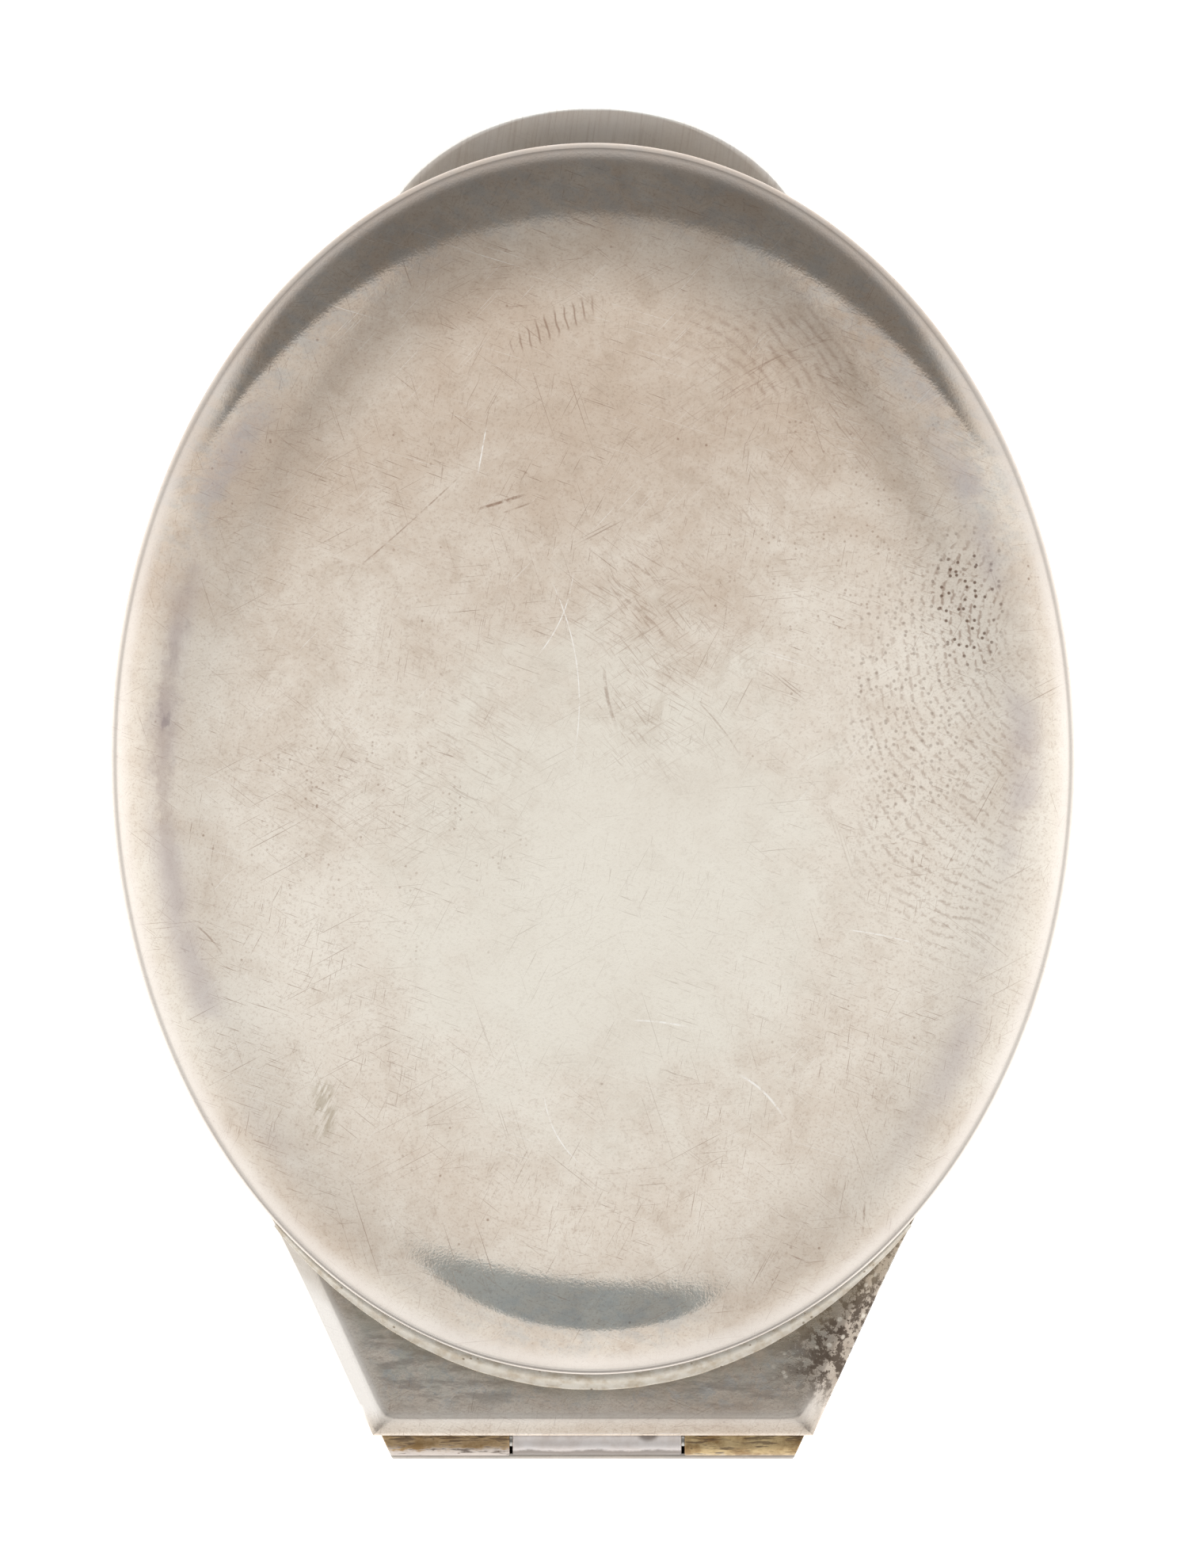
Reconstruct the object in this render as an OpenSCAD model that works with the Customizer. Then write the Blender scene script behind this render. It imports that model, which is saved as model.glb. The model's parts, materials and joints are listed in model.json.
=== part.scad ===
// Rocker blotter with a hinged lid. The lid carries an oval thumb dish, and the curved rocker
// plate below it carries the blotting paper. It lies shut, resting on the paper.
// +Y runs from the hinge to the free end and +Z is up. Every module draws its piece about the
// middle of the oval; placed() then moves it so that the origin is under the middle of the whole.

/* [Thumb dish] */
// Width of the oval
dish_w = 50.8; // [49:0.1:53]
// Length of the oval
dish_l = 64.9; // [64:0.1:66]
// Height of the rim's crest over the dish's floor
dish_depth = 1.55; // [1.3:0.05:1.8]
// Thickness of the dish's floor
dish_floor_t = 0.7; // [0.5:0.05:0.9]
// Distance from the rim's outside to the foot of its inner wall
wall_w = 6.5; // [5:0.1:8]
// Radius of the rim's rounded edge
rim_r = 0.7; // [0.5:0.05:0.8]

/* [Lid plate] */
// Thickness of the lid plate
lid_t = 1.0; // [0.8:0.05:1.1]
// Width of the neck's edge over the hinge
neck_w = 23.2; // [22.8:0.1:24]
// Angle that the neck's sides make with the middle line
neck_flare = 24.5; // [22:0.5:26]
// Angle that the neck's top falls at towards the hinge
neck_slope = 8.5; // [8:0.5:9]

/* [Rocker] */
// Radius that the paper's face rolls on
rock_r = 75; // [74:0.5:76]
// Place of the rocker's lowest line, measured from the oval's middle
rock_y = -1.65; // [-2:0.05:0]
// Thickness of the rocker plate
rocker_t = 0.9; // [0.8:0.05:1]
// Thickness of the blotting paper
paper_t = 0.4; // [0.3:0.05:0.5]
// Width of the thumb tongue at the free end
tongue_w = 23.4; // [22:0.1:24]
// Distance from the oval's middle to the tongue's tip
tongue_reach = 34.4; // [34:0.1:35]
// Angle from the lowest line to each paper slot
slot_angle = 20; // [19:0.5:20.5]

/* [Hinge] */
// Height of the hinge pin
hinge_z = 9.6; // [9.5:0.05:9.7]
// Distance from the oval's middle to the hinge pin
hinge_reach = 35.8; // [35.6:0.1:36]
// Distance from the oval's middle to the neck's edge
neck_reach = 35.7; // [35.6:0.1:35.8]
// Length of the barrel
barrel_l = 22.5; // [22:0.1:23]
// Outer radius of the fixed knuckles
knuckle_r = 0.98; // [0.9:0.02:1]
// Radius of the pin
pin_r = 0.5; // [0.4:0.05:0.55]
// Thickness of the gutter under the barrel
bearer_t = 0.3; // [0.25:0.05:0.35]
// Angle that the lid opens to before it meets the gutter
open_angle = 115; // [100:1:116]

/* [Catch and spring] */
// Radius of the stud's ball
ball_r = 0.95; // [0.8:0.05:1]
// Distance from the oval's middle to the stud
stud_reach = 26.5; // [26.2:0.1:26.8]
// Distance from the middle of the leaf spring to each of its ends
leaf_reach = 21; // [19:0.5:22]
// Width of the leaf spring
leaf_w = 12; // [8:0.5:14]
// Thickness of the leaf spring
leaf_t = 0.4; // [0.3:0.05:0.5]

/* [Hidden] */

fine = 96;
small = 64;
// space left between faces that slide, and between faces that only pass each other
running_gap = 0.05;
pass_gap = 0.07;

// the gutter's outer end is the stop that the open lid meets, given as an angle up from +Y
barrel_out = knuckle_r + bearer_t;
stop_angle = open_angle + 87;

// the whole reaches from the gutter's stop to the tongue's tip
shift_y = (hinge_reach - barrel_out * cos(stop_angle) - tongue_reach) / 2;

// heights of the lid, from the barrel upwards
lid_z = hinge_z + knuckle_r + pass_gap;
dish_z = lid_z + lid_t;
floor_z = dish_z + dish_floor_t;
// height of the neck's sloping top where it would meet the hinge's edge
neck_z = lid_z + 0.86;

// the oval is an ellipse, drawn with this many sides, and a step round it is this angle
oval_sides = 96;
oval_step = 360 / oval_sides;
// height of the rim's crest over the dish's underside
rim_top = dish_floor_t + dish_depth;

// the oval's plates are drawn this much smaller than the dish, so that it hides them
lid_half_w = dish_w / 2 - 2.2;
lid_half_l = dish_l / 2 - 2.2;
rocker_half_w = dish_w / 2 - 2.2;
rocker_half_l = dish_l / 2 - 3.4;

// the rocker's layers, as radii about its rolling centre
plate_out_r = rock_r - paper_t;
plate_in_r = plate_out_r - rocker_t;
tail_in_r = plate_in_r - paper_t;

// the tongue ends in half an ellipse
tongue_round = 8.64;
tongue_c = tongue_reach - tongue_round;

// the paper's tabs, and the slots that they come up through
tab_half_w = 8.4;
slot_half_l = 8.9;
slot_w = 1.1;
tail_angle = 7.5;

// the knuckles' joints, which are not quite even on the two sides
split_left = -4.32;
split_right = 4.76;
split_gap = 0.16;
// how far each end of the pin lies inside the barrel, under its plug
plug_l = 0.8;

// the leaf spring's arc: it hangs from the lid and stops just over the paper's ends
leaf_end_z = rock_r - sqrt(pow(tail_in_r, 2) - pow(leaf_reach, 2)) + 2 * running_gap;
leaf_drop = lid_z - leaf_end_z;
leaf_r = (pow(leaf_drop, 2) - pow(leaf_t, 2) + pow(leaf_reach, 2)) / (2 * (leaf_drop - leaf_t));
spring_plate_t = 0.6;
rivet_step = 2.4;
rivet_r = 0.6;
rivet_head_r = 1.1;
rivet_head_h = 0.5;

// the stud's ball, and the clip that stands round it
ball_z = lid_z - 2.05;
clip_angle = atan((stud_reach - rock_y) / (rock_r - ball_z));
clip_t = 0.4;
clip_rivet_x = 2.7;
clip_rivet_r = 0.45;

// ---- outlines ----

// half the width of an ellipse at y
function oval_half(y, half_l, half_w) = abs(y) < half_l ? half_w * sqrt(1 - pow(y / half_l, 2)) : 0;

// the larger of two widths, with the corner between them eased
function eased_max(a, b) = pow(pow(a, 12) + pow(b, 12), 1 / 12);

// half the width of a neck that narrows towards the hinge
function neck_half(y, edge_w, widest) = min(widest, edge_w / 2 + (y + neck_reach) * tan(neck_flare));

function tongue_half(y) =
    y < 0 ? 0 : y < tongue_c ? tongue_w / 2 : oval_half(y - tongue_c, tongue_round, tongue_w / 2);

function lid_half(y) =
    eased_max(oval_half(y, lid_half_l, lid_half_w), y < 0 ? neck_half(y, neck_w, 18.2) : 0);

function rocker_half(y) =
    eased_max(oval_half(y, rocker_half_l, rocker_half_w),
        y < 0 ? neck_half(y, barrel_l, 16) : tongue_half(y));

function paper_half(y) = eased_max(oval_half(y - rock_y, 28.6, rocker_half_w - 0.6), tab_half_w);

// rows of y between two ends, closer together towards both of them
function rows(y0, y1, n) = [for (i = [0:n]) (y0 + y1) / 2 - (y1 - y0) / 2 * cos(180 * i / n)];

// a closed outline from its right side's points
function both_sides(right) =
    concat(right, [for (i = [len(right) - 1:-1:0]) [-right[i][0], right[i][1]]]);

// ---- helpers ----

module placed() {
    translate([0, shift_y, 0])
        children();
}

// a bar along X: what is drawn in X and Y is laid into Y and Z
module along_x() {
    rotate([90, 0, 90])
        children();
}

module at_hinge() {
    translate([0, -hinge_reach, hinge_z])
        children();
}

// a round bar on the hinge's axis, from x0 to x1
module hinge_bar(r, x0, x1) {
    at_hinge()
        translate([x0, 0, 0])
            along_x()
                cylinder(r = r, h = x1 - x0, $fn = small);
}

// children stand on the rocker plate's middle, turned to face its rolling centre
module on_rocker(angle) {
    translate([0, rock_y, rock_r])
        rotate([angle, 0, 0])
            translate([0, 0, -(plate_out_r + plate_in_r) / 2])
                children();
}

// a drum about the rolling centre's axis
module rocker_drum(r, half_l = 30) {
    translate([-half_l, rock_y, rock_r])
        along_x()
            cylinder(r = r, h = 2 * half_l, $fn = 360);
}

// a curved sheet between two radii, cut to an outline
module rocker_sheet(out_r, in_r, outline) {
    difference() {
        intersection() {
            rocker_drum(out_r);
            translate([0, 0, -1])
                linear_extrude(hinge_z + 4)
                    polygon(outline);
        }
        rocker_drum(in_r, 31);
    }
}

// ---- rocker ----

module rocker_plate() {
    tip = [for (t = [6:6:90]) tongue_c + tongue_round * sin(t)];
    ys = concat(rows(-hinge_reach, tongue_c, 40), tip);
    color("silver")
        placed()
            difference() {
                rocker_sheet(plate_out_r, plate_in_r, both_sides([for (y = ys) [rocker_half(y), y]]));
                for (side = [-1, 1])
                    on_rocker(side * slot_angle)
                        cube([2 * slot_half_l, slot_w, 4], center = true);
                for (side = [-1, 1])
                    on_rocker(clip_angle)
                        translate([side * clip_rivet_x, 0, -2])
                            cylinder(r = clip_rivet_r, h = 4, $fn = small);
                hinge_bar(barrel_out, -30, 30);
            }
}

module blotting_paper() {
    // the sheet's outer face ends at the middle of each slot
    face = plate_out_r * sin(slot_angle);
    ys = rows(rock_y - face, rock_y + face, 40);
    color("whitesmoke")
        placed() {
            rocker_sheet(rock_r, plate_out_r, both_sides([for (y = ys) [paper_half(y), y]]));
            for (side = [-1, 1]) {
                on_rocker(side * slot_angle)
                    translate([-tab_half_w, -paper_t / 2, -rocker_t / 2 - paper_t + 0.01])
                        cube([2 * tab_half_w, paper_t, rocker_t + 2 * paper_t - 0.02]);
                paper_tail(side);
            }
        }
}

// the end of the sheet, turned back over the plate's inner face
module paper_tail(side) {
    y0 = plate_in_r * sin(slot_angle - tail_angle);
    y1 = plate_in_r * sin(slot_angle);
    translate([0, rock_y, 0])
        scale([1, side, 1])
            translate([0, -rock_y, 0])
                rocker_sheet(plate_in_r, tail_in_r,
                    both_sides([[tab_half_w, rock_y + y0], [tab_half_w, rock_y + y1]]));
}

module hinge_bearer() {
    inner_angle = 354;
    color("silver")
        placed()
            at_hinge()
                translate([-barrel_l / 2, 0, 0])
                    along_x()
                        rotate([0, 0, stop_angle])
                            rotate_extrude(angle = inner_angle - stop_angle, $fn = fine)
                                translate([knuckle_r, 0])
                                    square([bearer_t, barrel_l]);
}

module fixed_knuckle(x0, x1) {
    placed()
        difference() {
            hinge_bar(knuckle_r, x0, x1);
            hinge_bar(pin_r, x0 - 1, x1 + 1);
        }
}

module left_knuckle() {
    color("goldenrod")
        fixed_knuckle(-barrel_l / 2, split_left - split_gap / 2);
}

module right_knuckle() {
    color("goldenrod")
        fixed_knuckle(split_right + split_gap / 2, barrel_l / 2);
}

module hinge_pin() {
    color("gray")
        placed()
            hinge_bar(pin_r, -barrel_l / 2 + plug_l, barrel_l / 2 - plug_l);
}

module hinge_plugs() {
    color("darkgoldenrod")
        placed() {
            hinge_bar(pin_r, -barrel_l / 2, -barrel_l / 2 + plug_l);
            hinge_bar(pin_r, barrel_l / 2 - plug_l, barrel_l / 2);
        }
}

module catch_clip() {
    base_w = 7.4;
    base_l = 4;
    arm_l = 3;
    arm_x = ball_r + running_gap;
    arm_top = 3.1;
    color("khaki")
        placed()
            difference() {
                intersection() {
                    on_rocker(clip_angle)
                        union() {
                            translate([-base_w / 2, -base_l / 2, -1])
                                cube([base_w, base_l, 1 + rocker_t / 2 + clip_t]);
                            for (side = [-1, 1])
                                translate([side * (arm_x + clip_t / 2), 0, (arm_top - 1) / 2])
                                    cube([clip_t, arm_l, arm_top + 1], center = true);
                        }
                    rocker_drum(plate_in_r);
                }
                for (side = [-1, 1])
                    on_rocker(clip_angle)
                        translate([side * clip_rivet_x, 0, -2])
                            cylinder(r = clip_rivet_r, h = 5, $fn = small);
            }
}

module clip_rivets() {
    head_r = 0.8;
    head_h = 0.35;
    color("silver")
        placed()
            for (side = [-1, 1])
                on_rocker(clip_angle)
                    translate([side * clip_rivet_x, 0, 0]) {
                        translate([0, 0, -rocker_t / 2 + 0.02])
                            cylinder(r = clip_rivet_r, h = rocker_t + clip_t, $fn = small);
                        translate([0, 0, rocker_t / 2 + clip_t])
                            cylinder(r = head_r, h = head_h, $fn = small);
                    }
}

// ---- lid ----

// height of the neck's sloping top at y
function neck_top(y) = neck_z + (y + neck_reach) * tan(neck_slope);

// the neck: a wedge that fills the corner between the plate and the dish's wall
module neck_wedge() {
    top_y = -22;
    ys = rows(-neck_reach, top_y, 8);
    difference() {
        translate([0, 0, lid_z])
            linear_extrude(4)
                polygon(both_sides([for (y = ys) [lid_half(y), y]]));
        translate([-20, -neck_reach, neck_z])
            rotate([neck_slope, 0, 0])
                translate([0, -5, 0])
                    cube([40, 30, 8]);
        translate([0, 0, dish_z])
            linear_extrude(4)
                polygon([for (i = [0:oval_sides - 1])
                    let (p = oval_point(i * oval_step, 0, 0)) [p[0], p[1]]]);
    }
}

module lid_plate() {
    ys = rows(-24, lid_half_l - 0.01, 40);
    edge_slope = 36;
    rolled_w = 0.92;
    color("silver")
        placed()
            difference() {
                union() {
                    translate([0, 0, lid_z])
                        linear_extrude(lid_t)
                            polygon(both_sides([for (y = ys) [lid_half(y), y]]));
                    neck_wedge();
                }
                // the neck's three edges are rolled over
                translate([-20, rolled_w - neck_reach, neck_top(rolled_w - neck_reach)])
                    rotate([180 + edge_slope, 0, 0])
                        translate([0, 0, -3])
                            cube([40, 3, 3]);
                for (side = [-1, 1])
                    translate([side * (neck_w / 2 - rolled_w), -neck_reach, neck_z])
                        rotate([neck_slope, 0, -side * neck_flare])
                            rotate([0, side * edge_slope, 0])
                                translate([side > 0 ? 0 : -3, -1, 0])
                                    cube([3, 14, 3]);
                for (side = [-1, 1])
                    translate([0, rock_y + side * rivet_step, lid_z - 1])
                        cylinder(r = rivet_r, h = lid_t + 1, $fn = small);
            }
}

module middle_knuckle() {
    x0 = split_left + split_gap / 2;
    x1 = split_right - split_gap / 2;
    outer_r = knuckle_r - running_gap;
    web_z = 0.15;
    color("silver")
        placed()
            difference() {
                union() {
                    hinge_bar(outer_r, x0, x1);
                    at_hinge()
                        translate([x0, hinge_reach - neck_reach, web_z])
                            cube([x1 - x0, knuckle_r, lid_z - hinge_z - web_z]);
                }
                hinge_bar(pin_r + 0.04, x0 - 1, x1 + 1);
            }
}

// a point of the oval's edge, drawn in from the rim by an inset, at height z
function oval_point(t, inset, z) =
    let (edge = [dish_w / 2 * cos(t), dish_l / 2 * sin(t)],
        out = [cos(t) / dish_w, sin(t) / dish_l])
    concat(edge - inset * out / norm(out), [z]);

// the faces of a skin between two neighbouring rings of n points, numbered from a and from b
function ring_faces(a, b, n, steps) =
    [for (i = [0:steps - 1]) [a + i, b + i, b + (i + 1) % n, a + (i + 1) % n]];

// the dish's section: insets and heights over its underside, from there round the rim to the floor
rim_section = concat(
    [[0.2, 0], [0, 0.2]],
    [for (a = [0:15:120]) [rim_r - rim_r * cos(a), rim_top - rim_r + rim_r * sin(a)]],
    [for (i = [5:-1:0]) wall_point(i / 6)]);

// a point on the inner wall, a parabola that rises from the floor at t = 0
function wall_point(t) =
    let (top = rim_r - rim_r * cos(120), rise = rim_top - rim_r + rim_r * sin(120) - dish_floor_t)
    [wall_w + (top - wall_w) * t, dish_floor_t + rise * t * t];

module thumb_dish() {
    n = oval_sides;
    last = len(rim_section) - 1;
    color("silver")
        placed()
            polyhedron(
                points = [for (p = rim_section) for (i = [0:n - 1])
                    oval_point(i * oval_step, p[0], dish_z + p[1])],
                faces = concat(
                    [[for (i = [0:n - 1]) i]],
                    [for (r = [0:last - 1]) each ring_faces(r * n, (r + 1) * n, n, n)],
                    [[for (i = [n - 1:-1:0]) last * n + i]]));
}

// a fillet in the corner between the dish's wall and the neck's sloping top
module solder_seam() {
    // insets from the dish's wall, and heights over the neck
    section = [[0, 0], [-0.55, 0], [-0.2, 0.15], [0, 0.4]];
    steps = 20;
    n = steps + 1;
    last = len(section) - 1;
    start = 270 - steps / 2 * oval_step;
    color("gainsboro")
        placed()
            polyhedron(
                points = [for (s = section) for (i = [0:steps])
                    let (p = oval_point(start + i * oval_step, s[0], 0))
                    [p[0], p[1], neck_top(p[1]) + s[1]]],
                faces = concat(
                    [for (r = [0:last]) each ring_faces(r * n, (r + 1) % (last + 1) * n, n + 1, steps)],
                    [[for (r = [last:-1:0]) r * n]],
                    [[for (r = [0:last]) r * n + steps]]));
}

// a sheet bent to the leaf spring's arc, cut to a width and a length
module leaf_drum(r) {
    translate([-leaf_w, rock_y, lid_z - leaf_r])
        along_x()
            cylinder(r = r, h = 2 * leaf_w, $fn = 360);
}

module rivet_holes() {
    for (side = [-1, 1])
        translate([0, rock_y + side * rivet_step, lid_z - 3])
            cylinder(r = rivet_r, h = 6, $fn = small);
}

module pressure_spring() {
    color("peru")
        placed()
            difference() {
                intersection() {
                    leaf_drum(leaf_r);
                    translate([-leaf_w / 2, rock_y - leaf_reach, 0])
                        cube([leaf_w, 2 * leaf_reach, lid_z]);
                }
                leaf_drum(leaf_r - leaf_t);
                rivet_holes();
            }
}

module spring_plate() {
    plate_w = 9;
    plate_l = 9;
    color("silver")
        placed()
            difference() {
                intersection() {
                    leaf_drum(leaf_r - leaf_t);
                    translate([-plate_w / 2, rock_y - plate_l / 2, lid_z - leaf_t - spring_plate_t])
                        cube([plate_w, plate_l, spring_plate_t]);
                }
                rivet_holes();
            }
}

module spring_rivets() {
    head_z = lid_z - leaf_t - spring_plate_t - rivet_head_h;
    color("silver")
        placed()
            for (side = [-1, 1])
                translate([0, rock_y + side * rivet_step, head_z]) {
                    cylinder(r = rivet_head_r, h = rivet_head_h, $fn = small);
                    cylinder(r = rivet_r, h = dish_z - head_z, $fn = small);
                }
}

module catch_stud() {
    flange_r = 1.8;
    flange_h = 0.4;
    neck_r = 0.7;
    color("silver")
        placed()
            translate([0, stud_reach, 0]) {
                translate([0, 0, lid_z - flange_h])
                    cylinder(r = flange_r, h = flange_h, $fn = small);
                translate([0, 0, ball_z])
                    cylinder(r = neck_r, h = lid_z - ball_z, $fn = small);
                translate([0, 0, ball_z])
                    sphere(r = ball_r, $fn = small);
            }
}

rocker_plate();
blotting_paper();
hinge_bearer();
left_knuckle();
right_knuckle();
hinge_pin();
hinge_plugs();
catch_clip();
clip_rivets();
lid_plate();
middle_knuckle();
thumb_dish();
solder_seam();
pressure_spring();
spring_plate();
spring_rivets();
catch_stud();
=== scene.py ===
"""Looks for a hinged rocker blotter: old silver plate, worn brass knuckles and soft blotting paper.

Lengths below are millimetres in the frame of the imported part, unless a name says metres.
+Y runs from the hinge to the free tongue and +Z is up out of the thumb dish.
"""

import json
from math import atan2, cos, degrees, hypot, pi, radians, sin, sqrt, tan

import bmesh
import bpy
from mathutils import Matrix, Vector


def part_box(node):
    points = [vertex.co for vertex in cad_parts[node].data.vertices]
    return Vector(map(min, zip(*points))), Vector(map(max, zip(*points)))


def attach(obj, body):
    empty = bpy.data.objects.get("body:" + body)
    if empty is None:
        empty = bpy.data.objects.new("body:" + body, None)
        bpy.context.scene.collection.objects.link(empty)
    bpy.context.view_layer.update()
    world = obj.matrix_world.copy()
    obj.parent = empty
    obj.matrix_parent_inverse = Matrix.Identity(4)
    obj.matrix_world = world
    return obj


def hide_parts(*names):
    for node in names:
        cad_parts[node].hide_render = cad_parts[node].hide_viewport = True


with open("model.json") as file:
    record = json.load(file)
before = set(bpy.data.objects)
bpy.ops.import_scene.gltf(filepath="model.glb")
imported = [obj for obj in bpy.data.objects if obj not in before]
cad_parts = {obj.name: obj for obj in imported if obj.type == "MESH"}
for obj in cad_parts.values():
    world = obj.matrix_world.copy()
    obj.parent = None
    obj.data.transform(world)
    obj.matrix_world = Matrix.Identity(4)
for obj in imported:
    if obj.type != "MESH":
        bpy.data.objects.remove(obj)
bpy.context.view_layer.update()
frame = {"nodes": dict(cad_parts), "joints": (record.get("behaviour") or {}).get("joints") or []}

MM = 0.001


def box_mm(node):
    """The lowest and highest corner of a CAD node, in millimetres."""
    low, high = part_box(node)
    return low / MM, high / MM


# ---------------------------------------------------------------- sizes, taken from the frame

dish_low, dish_high = box_mm("thumb_dish")
lid_low = box_mm("lid_plate")[0]
rocker_high = box_mm("rocker_plate")[1]
left_low, left_high = box_mm("left_knuckle")
middle_low, middle_high = box_mm("middle_knuckle")
right_low, right_high = box_mm("right_knuckle")
bearer_low = box_mm("hinge_bearer")[0]
stud_low, stud_high = box_mm("catch_stud")
leaf_low, leaf_high = box_mm("pressure_spring")
plate_low, plate_high = box_mm("spring_plate")

# the oval dish
oval_y = (dish_low.y + dish_high.y) / 2
oval_w = dish_high.x
oval_l = (dish_high.y - dish_low.y) / 2
dish_z = dish_low.z
crest_z = dish_high.z
rim_r = 0.22

# the hinge
hinge_y, hinge_z = (v / MM for v in frame["joints"][0]["pos_m"][1:])
knuckle_r = left_high.z - hinge_z
middle_r = hinge_z - middle_low.z
bearer_r = hinge_z - bearer_low.z
barrel_half = right_high.x
pin_r = 0.5

# the rocker: layers at these radii about a line along X over its lowest line
rock_r = 75.0
rock_y = oval_y - 1.65
paper_t = 0.4
plate_out_r = rock_r - paper_t
plate_in_r = plate_out_r - 0.9
plate_mid_r = (plate_out_r + plate_in_r) / 2
plate_t = plate_out_r - plate_in_r
slot_angle = 20
tab_half = 8.4

# the lid plate and its neck
lid_z = lid_low.z
lid_t = dish_z - lid_z
lid_in = 2.2
neck_y = lid_low.y
neck_half_w = 11.6
neck_widest = 18.2
neck_flare = radians(24.5)

# the rocker's outline, whose tongue ends in half an oval
rocker_in = 2.2
rocker_end_in = 3.4
rocker_neck_widest = 16
tongue_half_w = 11.7
tongue_round = 8.64
tongue_y = rocker_high.y - tongue_round


# ---------------------------------------------------------------- outlines

def oval_half(y, half_l, half_w):
    """Half the width of an ellipse at y from its middle."""
    return half_w * sqrt(1 - (y / half_l) ** 2) if abs(y) < half_l else 0.0


def eased_max(a, b):
    """The larger of two widths, with the corner between them eased."""
    return (a ** 12 + b ** 12) ** (1 / 12)


def neck_half(y, edge_half, widest):
    """Half the width of a neck that narrows towards the hinge."""
    return min(widest, edge_half + (y - neck_y) * tan(neck_flare))


def lid_half(y):
    neck = neck_half(y, neck_half_w, neck_widest) if y < oval_y else 0
    return eased_max(oval_half(y - oval_y, oval_l - lid_in, oval_w - lid_in), neck)


def rocker_half(y):
    body = oval_half(y - oval_y, oval_l - rocker_end_in, oval_w - rocker_in)
    if y < oval_y:
        return eased_max(body, neck_half(y, barrel_half, rocker_neck_widest))
    if y < tongue_y:
        return eased_max(body, tongue_half_w)
    return eased_max(body, oval_half(y - tongue_y, tongue_round, tongue_half_w))


def spaced(first, last, count):
    """Values between two ends, closer together towards both of them."""
    middle, half = (first + last) / 2, (last - first) / 2
    return [middle - half * cos(pi * i / (count - 1)) for i in range(count)]


def evenly(first, last, count):
    return [first + (last - first) * i / (count - 1) for i in range(count)]


def arc(angles, r, across=0.0, up=0.0):
    """Points round a centre at these angles, in degrees."""
    return [(across + r * cos(radians(t)), up + r * sin(radians(t))) for t in angles]


def rounded_right(half_w, half_l, corner, middle_y=0.0):
    """The right-hand side of a rectangle with rounded corners, from its lowest y up."""
    low = arc(evenly(-90, 0, 7), corner, half_w - corner, corner - half_l)
    return [(x, middle_y + y) for x, y in low + [(x, -y) for x, y in reversed(low)]]


# ---------------------------------------------------------------- building solids

class Shell:
    """Points and faces of one piece, in millimetres. Each method adds one closed solid."""

    def __init__(self):
        self.points = []
        self.faces = []

    def loft(self, rings, wrapped=False):
        """A solid through rings of points: capped at both ends, or wrapped back to the first."""
        start, n = len(self.points), len(rings[0])
        for ring in rings:
            self.points += ring
        for r in range(len(rings) if wrapped else len(rings) - 1):
            below, above = start + r * n, start + (r + 1) % len(rings) * n
            for i in range(n):
                j = (i + 1) % n
                self.faces.append((below + i, below + j, above + j, above + i))
        if not wrapped:
            self.faces.append(tuple(start + i for i in range(n)))
            self.faces.append(tuple(start + (len(rings) - 1) * n + i for i in range(n)))

    def turn(self, section, place, steps=48, wrapped=False):
        """A solid turned about an axis. section holds (along, radius) and place puts a point."""
        angles = [2 * pi * i / steps for i in range(steps)]
        self.loft([[place(a, r * cos(t), r * sin(t)) for t in angles] for a, r in section], wrapped)

    def sheet(self, right, edge, lift, columns, crease=0.0):
        """A plate whose outline is the same on both sides of X = 0.

        right is its right-hand side from the lowest y up. edge holds (inset, share) round the
        edge, share being 0 on the underside and 1 on the top. lift(x, y, share, inset) gives
        the height. At the crease, an inset, the corners are rounded off.
        """
        rows, m = len(right), columns
        border = [(i, 0) for i in range(rows)] + [(rows - 1, j) for j in range(1, m)]
        border += [(i, m) for i in reversed(range(rows))] + [(0, j) for j in reversed(range(1, m))]
        loop = [Vector((right[i][0] * (1 - 2 * j / m), right[i][1])) for i, j in border]
        if crease:
            creased = eased_loop(inset_loop(loop, crease), 60)
            rings = [[p.lerp(q, inset / crease) for p, q in zip(loop, creased)] if inset <= crease
                     else inset_loop(creased, inset - crease) for inset, share in edge]
        else:
            rings = [inset_loop(loop, inset) for inset, share in edge]
        start, n = len(self.points), len(border)
        for ring, (inset, share) in zip(rings, edge):
            self.points += [(p.x, p.y, lift(p.x, p.y, share, inset)) for p in ring]
        for r in range(len(edge) - 1):
            for i in range(n):
                a, b = start + r * n + i, start + r * n + (i + 1) % n
                self.faces.append((a, b, b + n, a + n))
        for r in (0, len(edge) - 1):
            index = {cell: start + r * n + i for i, cell in enumerate(border)}
            inset, share = edge[r]
            for i in range(1, rows - 1):
                side = rings[r][i]
                for j in range(1, m):
                    x = side.x * (1 - 2 * j / m)
                    index[i, j] = len(self.points)
                    self.points.append((x, side.y, lift(x, side.y, share, inset)))
            for i in range(rows - 1):
                for j in range(m):
                    self.faces.append((index[i, j], index[i + 1, j], index[i + 1, j + 1], index[i, j + 1]))

    def mesh(self, name):
        """A Blender mesh in metres, its faces all turned outwards."""
        mesh = bpy.data.meshes.new(name)
        mesh.from_pydata([Vector(p) * MM for p in self.points], [], self.faces)
        work = bmesh.new()
        work.from_mesh(mesh)
        bmesh.ops.recalc_face_normals(work, faces=work.faces)
        work.to_mesh(mesh)
        work.free()
        return mesh


def inset_loop(loop, inset):
    """A closed loop of points, anticlockwise, moved inwards by an inset."""
    moved = []
    for i, p in enumerate(loop):
        before = (p - loop[i - 1]).normalized()
        after = (loop[(i + 1) % len(loop)] - p).normalized()
        along = (before + after).normalized()
        reach = inset / max(0.6, along.dot(after))
        moved.append(p + reach * Vector((-along.y, along.x)))
    return moved


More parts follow.
